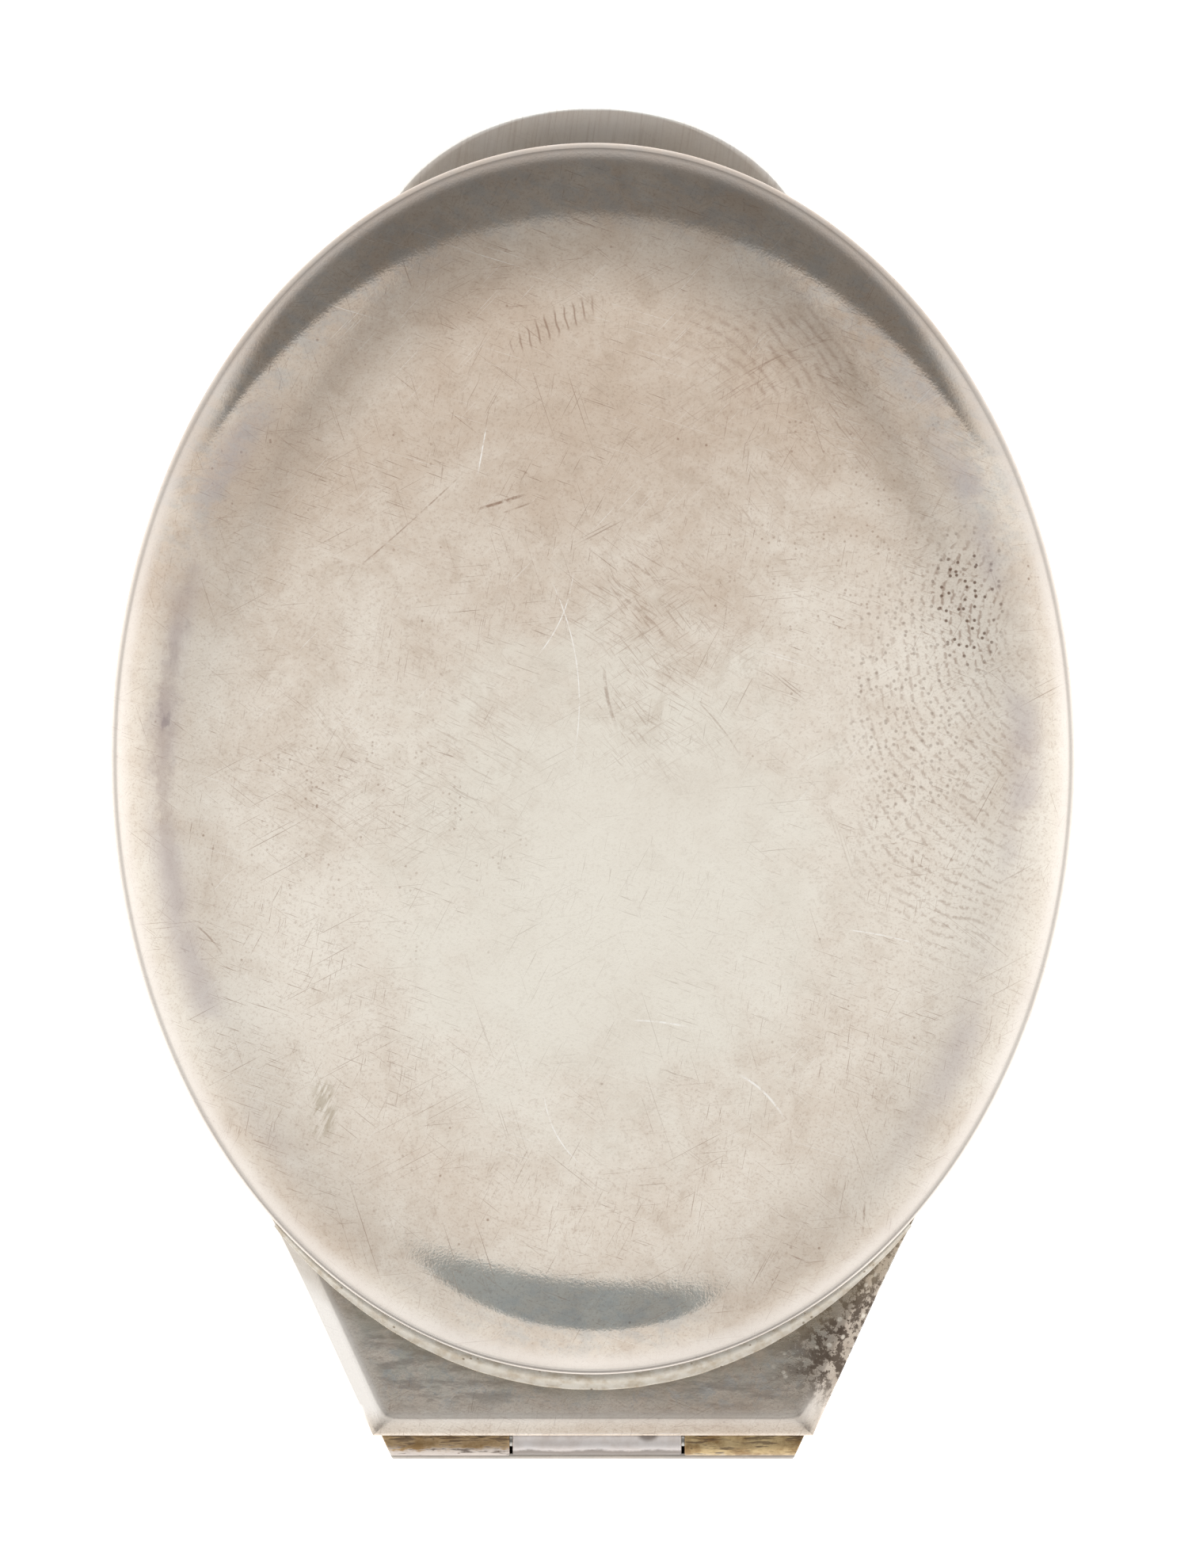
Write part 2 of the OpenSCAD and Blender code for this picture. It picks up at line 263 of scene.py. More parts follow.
def eased_loop(loop, passes):
    """A closed loop with its corners rounded off, by moving points between their neighbours."""
    for _ in range(passes):
        loop = [(loop[i - 1] + 2 * p + loop[(i + 1) % len(loop)]) / 4 for i, p in enumerate(loop)]
    return loop


def rounded_edge(r, steps=4):
    """(inset, height) round a plate's edge of thickness 1, as shares for Shell.sheet."""
    quarter = [pi / 2 * i / steps for i in range(steps + 1)]
    low = [(r * (1 - sin(t)), 0.5 * (1 - cos(t))) for t in quarter]
    return low + [(inset, 1 - share) for inset, share in reversed(low[:-1])]


def piece(name, shell, body, node, material, sharp=40):
    """Makes a shell into a shown piece that stands for a CAD node and rides on its body."""
    made = bpy.data.objects.new(name, shell if isinstance(shell, bpy.types.Mesh) else shell.mesh(name))
    bpy.context.scene.collection.objects.link(made)
    made.data.shade_smooth()
    made.data.set_sharp_from_angle(angle=radians(sharp))
    made.data.materials.append(material)
    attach(made, body)
    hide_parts(node)
    return made


# ---------------------------------------------------------------- writing shaders as sums

class Wire:
    """A socket that sums can be written with: each operator adds one Math node."""

    def __init__(self, bench, socket):
        self.bench = bench
        self.socket = socket

    def math(self, operation, *values):
        inputs = dict(enumerate(values))
        return self.bench.make("ShaderNodeMath", {"operation": operation}, inputs)

    def __add__(self, other):
        return self.math("ADD", self, other)

    def __sub__(self, other):
        return self.math("SUBTRACT", self, other)

    def __rsub__(self, other):
        return self.math("SUBTRACT", other, self)

    def __mul__(self, other):
        return self.math("MULTIPLY", self, other)

    def __truediv__(self, other):
        return self.math("DIVIDE", self, other)

    def __neg__(self):
        return self * -1

    def __abs__(self):
        return self.math("ABSOLUTE", self)

    __radd__ = __add__
    __rmul__ = __mul__

    def root(self):
        return self.math("SQRT", self)

    def least(self, other):
        return self.math("MINIMUM", self, other)

    def most(self, other):
        return self.math("MAXIMUM", self, other)

    def part(self):
        """What is left over after whole steps."""
        return self.math("FRACT", self)

    def between(self, low, high):
        """0 below low, 1 above high and smooth between, or the other way round if low is larger."""
        settings = {"interpolation_type": "SMOOTHSTEP"}
        if low < high:
            return self.bench.make("ShaderNodeMapRange", settings, {0: self, 1: low, 2: high})
        return self.bench.make("ShaderNodeMapRange", settings, {0: self, 1: high, 2: low, 3: 1.0, 4: 0.0})

    def bump_at(self, middle, width):
        """1 at the middle value, falling smoothly to 0 at a width on either side."""
        return abs(self - middle).between(width, 0)


class Bench:
    """One node tree being made."""

    def __init__(self, tree):
        self.tree = tree
        tree.nodes.clear()

    def make(self, kind, settings=None, inputs=None, out=0):
        """Any node: its settings first, then the values or links of its sockets."""
        node = self.tree.nodes.new(kind)
        for key, value in (settings or {}).items():
            if key == "stops":
                self.set_stops(node.color_ramp, value)
            else:
                setattr(node, key, value)
        for key, value in (inputs or {}).items():
            if isinstance(value, Wire):
                self.tree.links.new(value.socket, node.inputs[key])
            else:
                node.inputs[key].default_value = value
        return Wire(self, None if out is None else node.outputs[out])

    def set_stops(self, ramp, stops):
        while len(ramp.elements) > 1:
            ramp.elements.remove(ramp.elements[-1])
        for i, (place, level) in enumerate(stops):
            stop = ramp.elements[0] if i == 0 else ramp.elements.new(place)
            stop.position = place
            stop.color = (level, level, level, 1) if isinstance(level, float) else (*level, 1)

    def ramp(self, value, stops):
        return self.make("ShaderNodeValToRGB", {"stops": stops}, {0: value})

    def blend(self, share, a, b, way="MIX"):
        """Colour a changed to colour b by a share."""
        settings = {"data_type": "RGBA", "blend_type": way}
        a, b = ((*c, 1) if isinstance(c, tuple) else c for c in (a, b))
        return self.make("ShaderNodeMix", settings, {0: share, 6: a, 7: b}, out=2)

    def vector(self, operation, a, b=None, scale=None):
        inputs = {0: a}
        if b is not None:
            inputs[1] = b
        if scale is not None:
            inputs[3] = scale
        out = 1 if operation in ("LENGTH", "DISTANCE", "DOT_PRODUCT") else 0
        return self.make("ShaderNodeVectorMath", {"operation": operation}, inputs, out)

    def axes(self, vector):
        split = self.make("ShaderNodeSeparateXYZ", {}, {0: vector})
        return [Wire(self, split.socket.node.outputs[i]) for i in range(3)]

    def place(self):
        """Where a point lies on the piece, in millimetres."""
        metres = self.make("ShaderNodeTexCoord", {}, {}, "Object")
        return self.vector("SCALE", metres, scale=1 / MM)

    def laid(self, place, angle, stretch):
        """A place turned about Z by an angle in degrees and then stretched along each axis."""
        turned = self.make("ShaderNodeVectorRotate", {"rotation_type": "Z_AXIS"},
                           {"Vector": place, "Angle": radians(angle)})
        return self.vector("MULTIPLY", turned, stretch)

    def noise(self, place, size, detail=3.0, rough=0.55, warp=0.0):
        """Cloudy noise from 0 to 1 whose patches measure about size."""
        inputs = {"Vector": place, "Scale": 1 / size, "Detail": detail, "Roughness": rough,
                  "Distortion": warp}
        return self.make("ShaderNodeTexNoise", {}, inputs)

    def drawn(self, place, angle, length, width, depth, **kind):
        """Noise drawn out along an angle into streaks of a length, a width and a depth."""
        return self.noise(self.laid(place, -angle, (1 / length, 1 / width, 1 / depth)), 1.0, **kind)

    def cells(self, place, size, out, flat):
        settings = {"voronoi_dimensions": "2D" if flat else "3D"}
        return self.make("ShaderNodeTexVoronoi", settings, {"Vector": place, "Scale": 1 / size}, out)

    def specks(self, place, size, share, radius, flat=False):
        """Round specks: one may lie in each cell of a size, and a share of the cells have one.

        Flat ones are spread over X and Y alone, so that they all show at their full size.
        """
        near = self.cells(place, size, 0, flat)
        chance = self.axes(self.cells(place, size, 1, flat))[0]
        return near.between(radius, radius * 0.4) * chance.between(1 - share, 1 - share + 0.02)

    def hairs(self, place, angle, length, width, amount):
        """Fine straight scratches that lie along an angle, in patches."""
        lines = self.drawn(place, angle, length, width, 5.0, detail=1.0)
        patch = self.noise(self.vector("ADD", place, (angle * 3.1, angle, 7.0)), 7.0, detail=1.0)
        return lines.between(0.74 - amount, 0.80 - amount * 0.8) * patch.between(0.42, 0.62)

    def stroke(self, place, start, end, width, bend=0.0):
        """One scratch from start to end, thinner towards its ends and bowed sideways by bend."""
        run = Vector(end) - Vector(start)
        length, way = run.length, run.normalized()
        offset = self.vector("SUBTRACT", place, (*start, 0))
        along = self.vector("DOT_PRODUCT", offset, (way.x / length, way.y / length, 0))
        across = self.vector("DOT_PRODUCT", offset, (-way.y, way.x, 0))
        bow = along * (1 - along) * (4 * bend) if bend else 0.0
        taper = along.between(0, 0.2) * along.between(1, 0.7)
        return abs(across - bow).between(width, width * 0.3) * taper

    def surface(self, colour, metallic, roughness, height=None, lift=0.01, constants=None):
        """The shader itself. height raises the surface by up to lift millimetres."""
        inputs = {"Base Color": colour, "Metallic": metallic, "Roughness": roughness}
        inputs.update(constants or {})
        if height is not None:
            inputs["Normal"] = self.make("ShaderNodeBump", {}, {"Height": height, "Distance": lift * MM})
        shader = self.make("ShaderNodeBsdfPrincipled", {}, inputs)
        self.make("ShaderNodeOutputMaterial", {}, {"Surface": shader}, out=None)


def bench_for(name):
    material = bpy.data.materials.new(name)
    material.use_nodes = True
    return Bench(material.node_tree), material


# ---------------------------------------------------------------- finishes

CLEAN_SILVER = (0.84, 0.78, 0.69)
WARM_SILVER = (0.60, 0.485, 0.385)
COOL_BLOOM = (0.43, 0.475, 0.50)
BROWN_TARNISH = (0.25, 0.145, 0.095)
WHITE_SCRATCH = (0.93, 0.90, 0.85)


def aged_silver(bench, place, warmth=0.0):
    """Colour, roughness and height of old hand-worn silver plate. warmth adds tarnish."""
    broad = bench.noise(place, 14.0, detail=2.0)
    cloud = bench.noise(place, 4.5, detail=4.0, rough=0.62, warp=0.6)
    grain = bench.noise(place, 0.45, detail=3.0, rough=0.7)
    dust = bench.noise(place, 0.13, detail=2.0)
    mottle = bench.noise(place, 1.7, detail=5.0, rough=0.72, warp=0.3).between(0.50, 0.68)
    tarnish = (broad * 0.55 + cloud * 0.75 + grain * 0.30 + (warmth - 0.45)).between(0.05, 0.95)
    colour = bench.blend(tarnish, CLEAN_SILVER, WARM_SILVER)
    colour = bench.blend(mottle * (0.08 + tarnish * 0.30), colour, (0.47, 0.37, 0.285))
    hairs = None
    for angle, length, width, amount in (
        (28, 5.0, 0.05, 0.045),
        (-38, 4.0, 0.045, 0.04),
        (62, 3.0, 0.05, 0.045),
        (-72, 6.0, 0.05, 0.03),
        (5, 3.5, 0.045, 0.035),
        (-20, 1.6, 0.06, 0.07),
        (80, 1.4, 0.055, 0.06),
    ):
        line = bench.hairs(place, angle, length, width, amount)
        hairs = line if hairs is None else hairs.most(line)
    colour = bench.blend(hairs * 0.5, colour, BROWN_TARNISH)
    pale = bench.hairs(place, 47, 4.0, 0.045, 0.03).most(bench.hairs(place, -17, 6.0, 0.04, 0.03))
    colour = bench.blend(pale * 0.55, colour, WHITE_SCRATCH)
    specks = bench.specks(place, 0.5, 0.16, 0.20) * cloud.between(0.45, 0.65)
    colour = bench.blend(specks * 0.6, colour, BROWN_TARNISH)
    colour = bench.blend(dust.between(0.50, 0.72) * 0.22, colour, BROWN_TARNISH)
    roughness = 0.065 + tarnish * 0.05 + hairs * 0.10
    height = grain * 0.5 + dust * 0.5
    return colour, roughness, height, tarnish


def ridges(bench, place, middle, pitch, stretch, wander):
    """Finger ridges: closed loops about a middle, stretched along X and Y, at an even pitch."""
    warp = bench.noise(place, 6.0, detail=1.0) * wander
    offset = bench.vector("SUBTRACT", place, (*middle, 0))
    loops = bench.vector("LENGTH", bench.vector("MULTIPLY", offset, (*stretch, 0)))
    return ((loops + warp) / pitch).part().bump_at(0.5, 0.32)


def spot(bench, place, middle, size, ragged=0.35):
    """A soft-edged patch about a middle, of a half width and a half length, with a ragged edge."""
    offset = bench.vector("SUBTRACT", place, (*middle, 0))
    reach = bench.vector("LENGTH", bench.vector("MULTIPLY", offset, (1 / size[0], 1 / size[1], 0)))
    return (reach + (bench.noise(place, 2.5, detail=3.0) - 0.5) * ragged).between(1.0, 0.45)


def oval_share(x, y):
    """How far out a place lies: 0 at the dish's middle and 1 on the oval's edge."""
    out_x, out_y = x / oval_w, (y - oval_y) / oval_l
    return (out_x * out_x + out_y * out_y).root()


def dish_silver():
    bench, material = bench_for("dish_silver")
    place = bench.place()
    x, y, z = bench.axes(place)
    # the far half and the left side are warmer than the middle, where thumbs have kept it bright
    far = (y - x * 0.15).between(-8, 22)
    near = (-y).between(12, 26)
    colour, roughness, height, _ = aged_silver(bench, place, far * 0.38 + near * 0.17 - 0.07)
    bright = spot(bench, place, (0.5, -5.0), (15, 17), 0.9)
    colour = bench.blend(bright * 0.55, colour, (0.80, 0.765, 0.675))

    # brownish scuffs across the far right of the floor
    scuffs = bench.hairs(place, 33, 1.9, 0.07, 0.13).most(bench.hairs(place, -30, 1.6, 0.08, 0.14))
    scuffs = scuffs.most(bench.hairs(place, -52, 1.3, 0.08, 0.13))
    scuffed = spot(bench, place, (12, 19), (12, 8), 0.9).most(spot(bench, place, (3, 7), (7, 8), 0.9))
    scuffed = scuffed.most(spot(bench, place, (-9, 2), (11, 9), 0.9) * 0.6)
    colour = bench.blend(scuffs * scuffed * 0.34, colour, BROWN_TARNISH)
    stained = bench.noise(place, 2.6, detail=5.0, rough=0.7, warp=0.8).between(0.48, 0.64) * scuffed
    colour = bench.blend(stained * 0.22, colour, (0.42, 0.32, 0.23))

    # finger marks: dots in rows at the right, ridges at the far side, short dashes beside them
    dots = bench.noise(place, 0.22, detail=0.0).between(0.44, 0.60)
    right_rows = ridges(bench, place, (25.0, 8.5), 0.50, (1.0, 0.85), 2.2) * dots
    right_zone = spot(bench, place, (18.5, 1.5), (6.5, 15.5), 0.5)
    colour = bench.blend(right_rows * right_zone * 0.34, colour, BROWN_TARNISH)
    dark_zone = spot(bench, place, (19.8, 9.5), (2.8, 5.0), 0.7)
    colour = bench.blend(right_rows * dark_zone * 0.35, colour, BROWN_TARNISH)
    # round pits among them, and a scatter of smaller ones over the left
    pits = bench.specks(place, 0.46, 0.55, 0.26, flat=True)
    pitted = dark_zone.most(spot(bench, place, (16.8, 4.5), (4.5, 9.5), 0.9) * 0.45)
    colour = bench.blend(pits * pitted * 0.85, colour, (0.15, 0.085, 0.055))
    clumps = bench.noise(place, 1.3, detail=3.0, rough=0.7).between(0.46, 0.62)
    grains = bench.specks(place, 0.29, 0.26, 0.32, flat=True) * clumps
    gritty = spot(bench, place, (-11.5, -2.0), (10, 9), 0.9)
    gritty = gritty.most(spot(bench, place, (14, 14), (11, 12), 0.9))
    colour = bench.blend(grains * gritty * 0.42, colour, BROWN_TARNISH)
    far_rows = ridges(bench, place, (2.0, 12.0), 0.52, (1.0, 0.8), 1.5)
    far_zone = spot(bench, place, (9.5, 23.0), (6.0, 4.0), 0.9)
    far_broken = bench.noise(place, 0.7, detail=2.0).between(0.38, 0.62)
    colour = bench.blend(far_rows * far_zone * far_broken * 0.32, colour, BROWN_TARNISH)
    # the dashes lean, and the row of them rises to the right
    row_place = bench.vector("SUBTRACT", place, (-2.0, 24.2, 0))
    dash_line = spot(bench, bench.laid(row_place, -27, (1, 1, 0)), (0, 0), (3.6, 0.85), 0.5)
    across = bench.axes(bench.laid(row_place, -12, (1, 1, 0)))[0]
    dashes = ((across + bench.noise(place, 1.1, detail=1.0) * 0.35) / 0.52).part().bump_at(0.5, 0.17)
    colour = bench.blend(dashes * dash_line * 0.6, colour, BROWN_TARNISH)

    # single scratches: dark ones first, then bright ones
    worn = bench.noise(place, 0.5, detail=3.0, rough=0.7).between(0.30, 0.60)
    for start, end, width, bend, depth in (
        ((-6.6, 16.6), (-13.2, 10.7), 0.055, 0.1, 0.55),
        ((-6.2, 14.4), (-3.3, 15.3), 0.11, 0.0, 0.75),
        ((-4.9, 14.2), (-2.9, 14.9), 0.06, 0.0, 0.5),
        ((0.6, 10.4), (4.3, 7.0), 0.12, 0.3, 0.4),
        ((1.3, 12.0), (3.4, 10.6), 0.08, 0.1, 0.4),
        ((0.6, 6.2), (1.4, 2.6), 0.13, -0.2, 0.45),
        ((-21.0, -7.4), (-19.4, -9.2), 0.07, 0.1, 0.5),
        ((14.4, -21.3), (14.2, -24.0), 0.08, 0.0, 0.45),
        ((5.2, 4.6), (7.9, 1.2), 0.06, 0.2, 0.35),
        ((7.4, 21.2), (13.4, 23.6), 0.05, 0.3, 0.4),
    ):
        line = bench.stroke(place, start, end, width, bend) * worn
        colour = bench.blend(line * depth, colour, BROWN_TARNISH)
    smudge = bench.drawn(place, 62, 1.3, 0.22, 1.0, detail=2.0).between(0.38, 0.58)
    smudge = smudge * spot(bench, place, (-14.2, -17.2), (0.95, 1.9), 0.8)
    colour = bench.blend(smudge * 0.5, colour, (0.34, 0.27, 0.17))
    for start, end, width, bend in (
        ((-2.6, -16.2), (-0.4, -20.3), 0.05, -0.5),
        ((7.6, -15.3), (10.2, -17.9), 0.08, 0.3),
        ((-2.4, 11.1), (-1.2, 0.5), 0.04, 1.0),
        ((-1.0, 11.3), (-3.4, 6.2), 0.04, 0.5),
        ((-5.6, 18.9), (-6.1, 16.1), 0.05, 0.0),
        ((13.2, -7.7), (17.6, -8.6), 0.045, 0.1),
        ((2.0, -12.5), (5.2, -12.9), 0.07, 0.1),
    ):
        line = bench.stroke(place, start, end, width, bend) * worn
        colour = bench.blend(line * 0.9, colour, WHITE_SCRATCH)

    # a cool bloom, where the wall and the near end of the floor are less rubbed
    share = oval_share(x, y)
    bloom = bench.noise(bench.laid(place, 20, (1.0, 1.6, 1.0)), 1.3, detail=4.0, rough=0.7)
    cool = share.between(0.84, 0.90) * y.between(8, 16)
    cool = cool.most(spot(bench, place, (-0.6, -28.2), (8.5, 2.8), 0.3))
    colour = bench.blend(bloom.between(0.42, 0.64) * cool * 0.30, colour, COOL_BLOOM)

    # lilac smudges inside the rim, and a pinkish bloom on the rim itself
    ring = share.bump_at(0.895, 0.055) * bench.noise(place, 5.0, detail=3.0).between(0.40, 0.62)
    side = abs(x).between(14, 21)
    colour = bench.blend(ring * side * 0.5, colour, (0.50, 0.44, 0.44))
    smears = bench.drawn(place, 0, 0.5, 1.3, 1.0, detail=3.0).between(0.55, 0.7)
    left = (-x).between(16, 21) * y.bump_at(3.5, 9.0)
    colour = bench.blend(smears * ring * left * 0.7, colour, (0.30, 0.26, 0.27))
    ragged = share + (bench.noise(place, 0.7, detail=4.0, rough=0.7) - 0.5) * 0.06
    band = ragged.bump_at(0.892, 0.028) * y.bump_at(3.0, 13.0) * (-x).between(12, 18)
    colour = bench.blend(band * 0.45, colour, (0.39, 0.305, 0.28))
    rim = share.between(0.955, 0.985)
    rim_colour = bench.blend(y.between(8, 26), (0.87, 0.805, 0.745), (0.66, 0.585, 0.525))
    colour = bench.blend(rim * 0.65, colour, rim_colour)
    outside = z.between(dish_z + 1.9, dish_z + 1.2) * share.between(0.985, 0.995) * y.between(-14, -24)
    colour = bench.blend(outside * 0.8, colour, (0.66, 0.52, 0.36))
    rubbed = share.between(0.980, 0.992)
    bench.surface(colour, 1.0, roughness + rubbed * 0.30, height, 0.004)
    return material


def plate_silver(name, warmth, dull, satin, streak=None):
    """Silver plate away from the dish, gone dull all over, of a satin roughness.

    streak gives the angle and the strength of its polishing lines.
    """
    bench, material = bench_for(name)
    place = bench.place()
    colour, roughness, height, tarnish = aged_silver(bench, place, warmth)
    film = bench.noise(place, 3.0, detail=3.0).between(0.2, 0.75)
    duller = bench.blend(tarnish, dull, tuple(0.8 * c for c in dull))
    colour = bench.blend(0.95 - film * 0.35, colour, duller)
    if streak:
        angle, strength = streak
        lines = bench.drawn(place, angle, 9, 0.16, 2, detail=3.0)
        colour = bench.blend(lines.between(0.45, 0.75) * strength, colour, BROWN_TARNISH)
    bench.surface(colour, 1.0, roughness + (satin - 0.08), height, 0.005)
    return material


def neck_silver():
    bench, material = bench_for("neck_silver")
    place = bench.place()
    x, y, z = bench.axes(place)
    colour, roughness, height, _ = aged_silver(bench, place, 0.15)
    # a cool bloom over the middle of the top, which stops short of the worn edges; it is laid on more
    # heavily towards the dish, which is painted shade from the dish's wall
    top = z.between(lid_z + 0.03, lid_z + 0.16)
    side = (neck_half_w + (y - neck_y) * tan(neck_flare) - abs(x)) * cos(neck_flare)
    reach = side.least(y - neck_y)
    mottle = bench.noise(place, 1.5, detail=5.0, rough=0.7, warp=0.4)
    # heavier towards the dish: painted shade on top of the real bloom
    bloom_and_dish_shade = (y - neck_y).between(0.5, 4.5) * 0.75 + 0.15
    inside = reach.between(0.9, 2.2) * top
    colour = bench.blend(inside * mottle.between(0.34, 0.62) * bloom_and_dish_shade, colour, (0.53, 0.525, 0.465))
    flecks = bench.noise(place, 0.8, detail=5.0, rough=0.75, warp=0.5).between(0.50, 0.62)
    colour = bench.blend(inside * flecks * 0.40, colour, COOL_BLOOM)
    # painted shade: the neck made darker and streaky close to the dish, where the dish's wall shades it
    painted_dish_shade = (y + abs(x) * 0.12 + 0.015 * x * x).between(-32.4, -31.2) * inside
    stain = bench.noise(bench.laid(place, 0, (0.4, 1.4, 1.0)), 1.0, detail=4.0, rough=0.7)
    colour = bench.blend(stain.between(0.42, 0.60) * painted_dish_shade * 0.55, colour, (0.28, 0.24, 0.21))
    worn = reach.between(1.5, 0.7) * top * x.between(13.5, 10.0) * (y - neck_y).between(0.2, 1.6)
    colour = bench.blend(worn * 0.75, colour, (0.95, 0.92, 0.88))
    # brown tarnish flaking along the right side, with bare cream spots among it
    flakes = bench.noise(place, 0.6, detail=5.0, rough=0.75)
    right = x.between(5.0, 12.5) * y.between(neck_y + 0.9, neck_y + 3.5) * top
    colour = bench.blend(right * 0.45, colour, (0.36, 0.29, 0.225))
    flaked = flakes.between(0.60, 0.66) + flakes.between(0.44, 0.54) * x.between(9.0, 12.0)
    flaked = (flaked * right).least(1.0)
    colour = bench.blend(flaked * 0.88, colour, (0.085, 0.055, 0.035))
    cream = bench.specks(place, 0.6, 0.35, 0.3) * right
    colour = bench.blend(cream * 0.8, colour, (0.86, 0.79, 0.68))
    # the brown line where the neck meets the dish
    seam = oval_share(x, y).between(1.055, 1.02) * top
    colour = bench.blend(seam * (0.15 + mottle * 0.6), colour, (0.34, 0.27, 0.18))
    crease = reach.bump_at(0.92, 0.35)
    roughness = roughness + 0.10 + flaked * 0.3 + crease * 0.3
    bench.surface(colour, 1 - flaked * 0.4, roughness, height - flaked * 1.5, 0.008)
    return material


def worn_brass(name, left_over, warm):
    """Brass where the plating has gone, with silver left over low on the outer side."""
    bench, material = bench_for(name)
    place = bench.place()
    y = bench.axes(place)[1]
    streaks = bench.drawn(place, 0, 1.3, 0.16, 0.5, detail=4.0, rough=0.65)
    blots = bench.noise(place, 0.9, detail=4.0, rough=0.65)
    colour = bench.blend(blots.between(0.35, 0.65), (0.34, 0.21, 0.09), warm)
    low = (hinge_y - 0.45 - y) * 0.55
    silver = (blots * 0.5 + streaks * 0.6 + low).between(0.66 - left_over, 0.80 - left_over)
    colour = bench.blend(silver * 0.8, colour, (0.66, 0.60, 0.56))
    # dark tarnish in streaks and blots, and darker towards the top of the knuckle next to the plate's edge,
    # which is painted shade
    dark = (streaks * 0.8 + blots * 0.3 + (y - hinge_y) * 0.08).between(0.52, 0.64)
    colour = bench.blend(dark * 0.75, colour, (0.10, 0.06, 0.035))
    fleck = bench.specks(place, 0.35, 0.25, 0.28)
    colour = bench.blend(fleck * 0.6, colour, (0.14, 0.085, 0.045))
    bench.surface(colour, 0.75 - dark * 0.3, 0.38 + dark * 0.25 + blots * 0.1, streaks - dark, 0.02)
    return material


def knuckle_silver():
    bench, material = bench_for("knuckle_silver")
    place = bench.place()
    y = bench.axes(place)[1]
    cloud = bench.noise(place, 1.5, detail=4.0, rough=0.65)
    colour = bench.blend(cloud.between(0.35, 0.7), (0.92, 0.86, 0.83), (0.76, 0.68, 0.63))
    # painted shade: a dark line along the knuckle's lower edge, where the barrel turns away from the light
    line = (y + (cloud - 0.5) * 0.5).between(hinge_y - 0.62, hinge_y - 0.80)
    colour = bench.blend(line * 0.75, colour, (0.13, 0.09, 0.06))
    stain = spot(bench, place, (2.9, hinge_y + 0.1), (0.7, 0.45), 0.9)
    colour = bench.blend(stain * 0.7, colour, (0.16, 0.11, 0.08))
    scratches = bench.hairs(place, 12, 1.5, 0.04, 0.08)
    colour = bench.blend(scratches * 0.4, colour, BROWN_TARNISH)
    bench.surface(colour, 0.6, 0.40 + cloud * 0.1, cloud - scratches, 0.006)
    return material


def solder():
    bench, material = bench_for("solder")
    place = bench.place()
    lumps = bench.noise(place, 0.7, detail=4.0, rough=0.6)
    colour = bench.blend(lumps.between(0.40, 0.75), (0.88, 0.82, 0.72), (0.66, 0.56, 0.43))
    specks = bench.specks(place, 0.4, 0.3, 0.26)
    colour = bench.blend(specks * 0.6, colour, (0.22, 0.14, 0.07))
    bench.surface(colour, 1.0, 0.40 + specks * 0.2, lumps, 0.015)
    return material


def rolled_metal(name, light, dark, angle, roughness):
    """Rolled or drawn metal with fine lines along an angle and a little oxide."""
    bench, material = bench_for(name)
    place = bench.place()
    lines = bench.drawn(place, angle, 8, 0.10, 0.3, detail=3.0)
    oxide = bench.noise(place, 2.2, detail=4.0, rough=0.65)
    colour = bench.blend(oxide.between(0.35, 0.75) * 0.8 + lines * 0.2, light, dark)
    specks = bench.specks(place, 0.6, 0.2, 0.22)
    colour = bench.blend(specks * 0.5, colour, (0.12, 0.08, 0.05))
    bench.surface(colour, 1.0, roughness + oxide * 0.12, lines, 0.006)
    return material


def blotting():
    """Thick soft paper: fibre tooth, a little foxing and the faint ghosts of blotted lines."""
    bench, material = bench_for("blotting")
    place = bench.place()
    x, y, _ = bench.axes(place)
    tooth = bench.noise(place, 0.16, detail=3.0, rough=0.7)
    fibre = bench.drawn(place, -35, 1.2, 0.09, 0.2, detail=2.0, warp=0.5)
    fibre = fibre.most(bench.drawn(place, 50, 1.0, 0.09, 0.2, detail=2.0))
    colour = bench.blend(fibre.between(0.45, 0.75), (0.80, 0.775, 0.71), (0.70, 0.665, 0.585))
    foxing = bench.specks(place, 3.0, 0.2, 0.16)
    colour = bench.blend(foxing * 0.3, colour, (0.48, 0.33, 0.16))
    # lines of ink soaked up and blurred, broken along their length
    rows = (y / 6.5 + bench.noise(place, 9.0, detail=1.0) * 0.35).part().bump_at(0.5, 0.10)
    broken = bench.drawn(place, 0, 1.7, 0.9, 1.0, detail=3.0, warp=1.0)
    blotted = rows * broken.between(0.52, 0.66) * abs(x).between(19, 12) * abs(y).between(22, 15)
    colour = bench.blend(blotted * 0.40, colour, (0.10, 0.12, 0.24))
    drops = spot(bench, place, (6.5, 9.0), (1.5, 1.3), 0.7)
    drops = drops.most(spot(bench, place, (-9.0, -6.0), (0.9, 1.0), 0.7))
    colour = bench.blend(drops * 0.55, colour, (0.08, 0.10, 0.22))
    bench.surface(colour, 0.0, 0.93, tooth + fibre, 0.05, {"Specular IOR Level": 0.15})
    return material


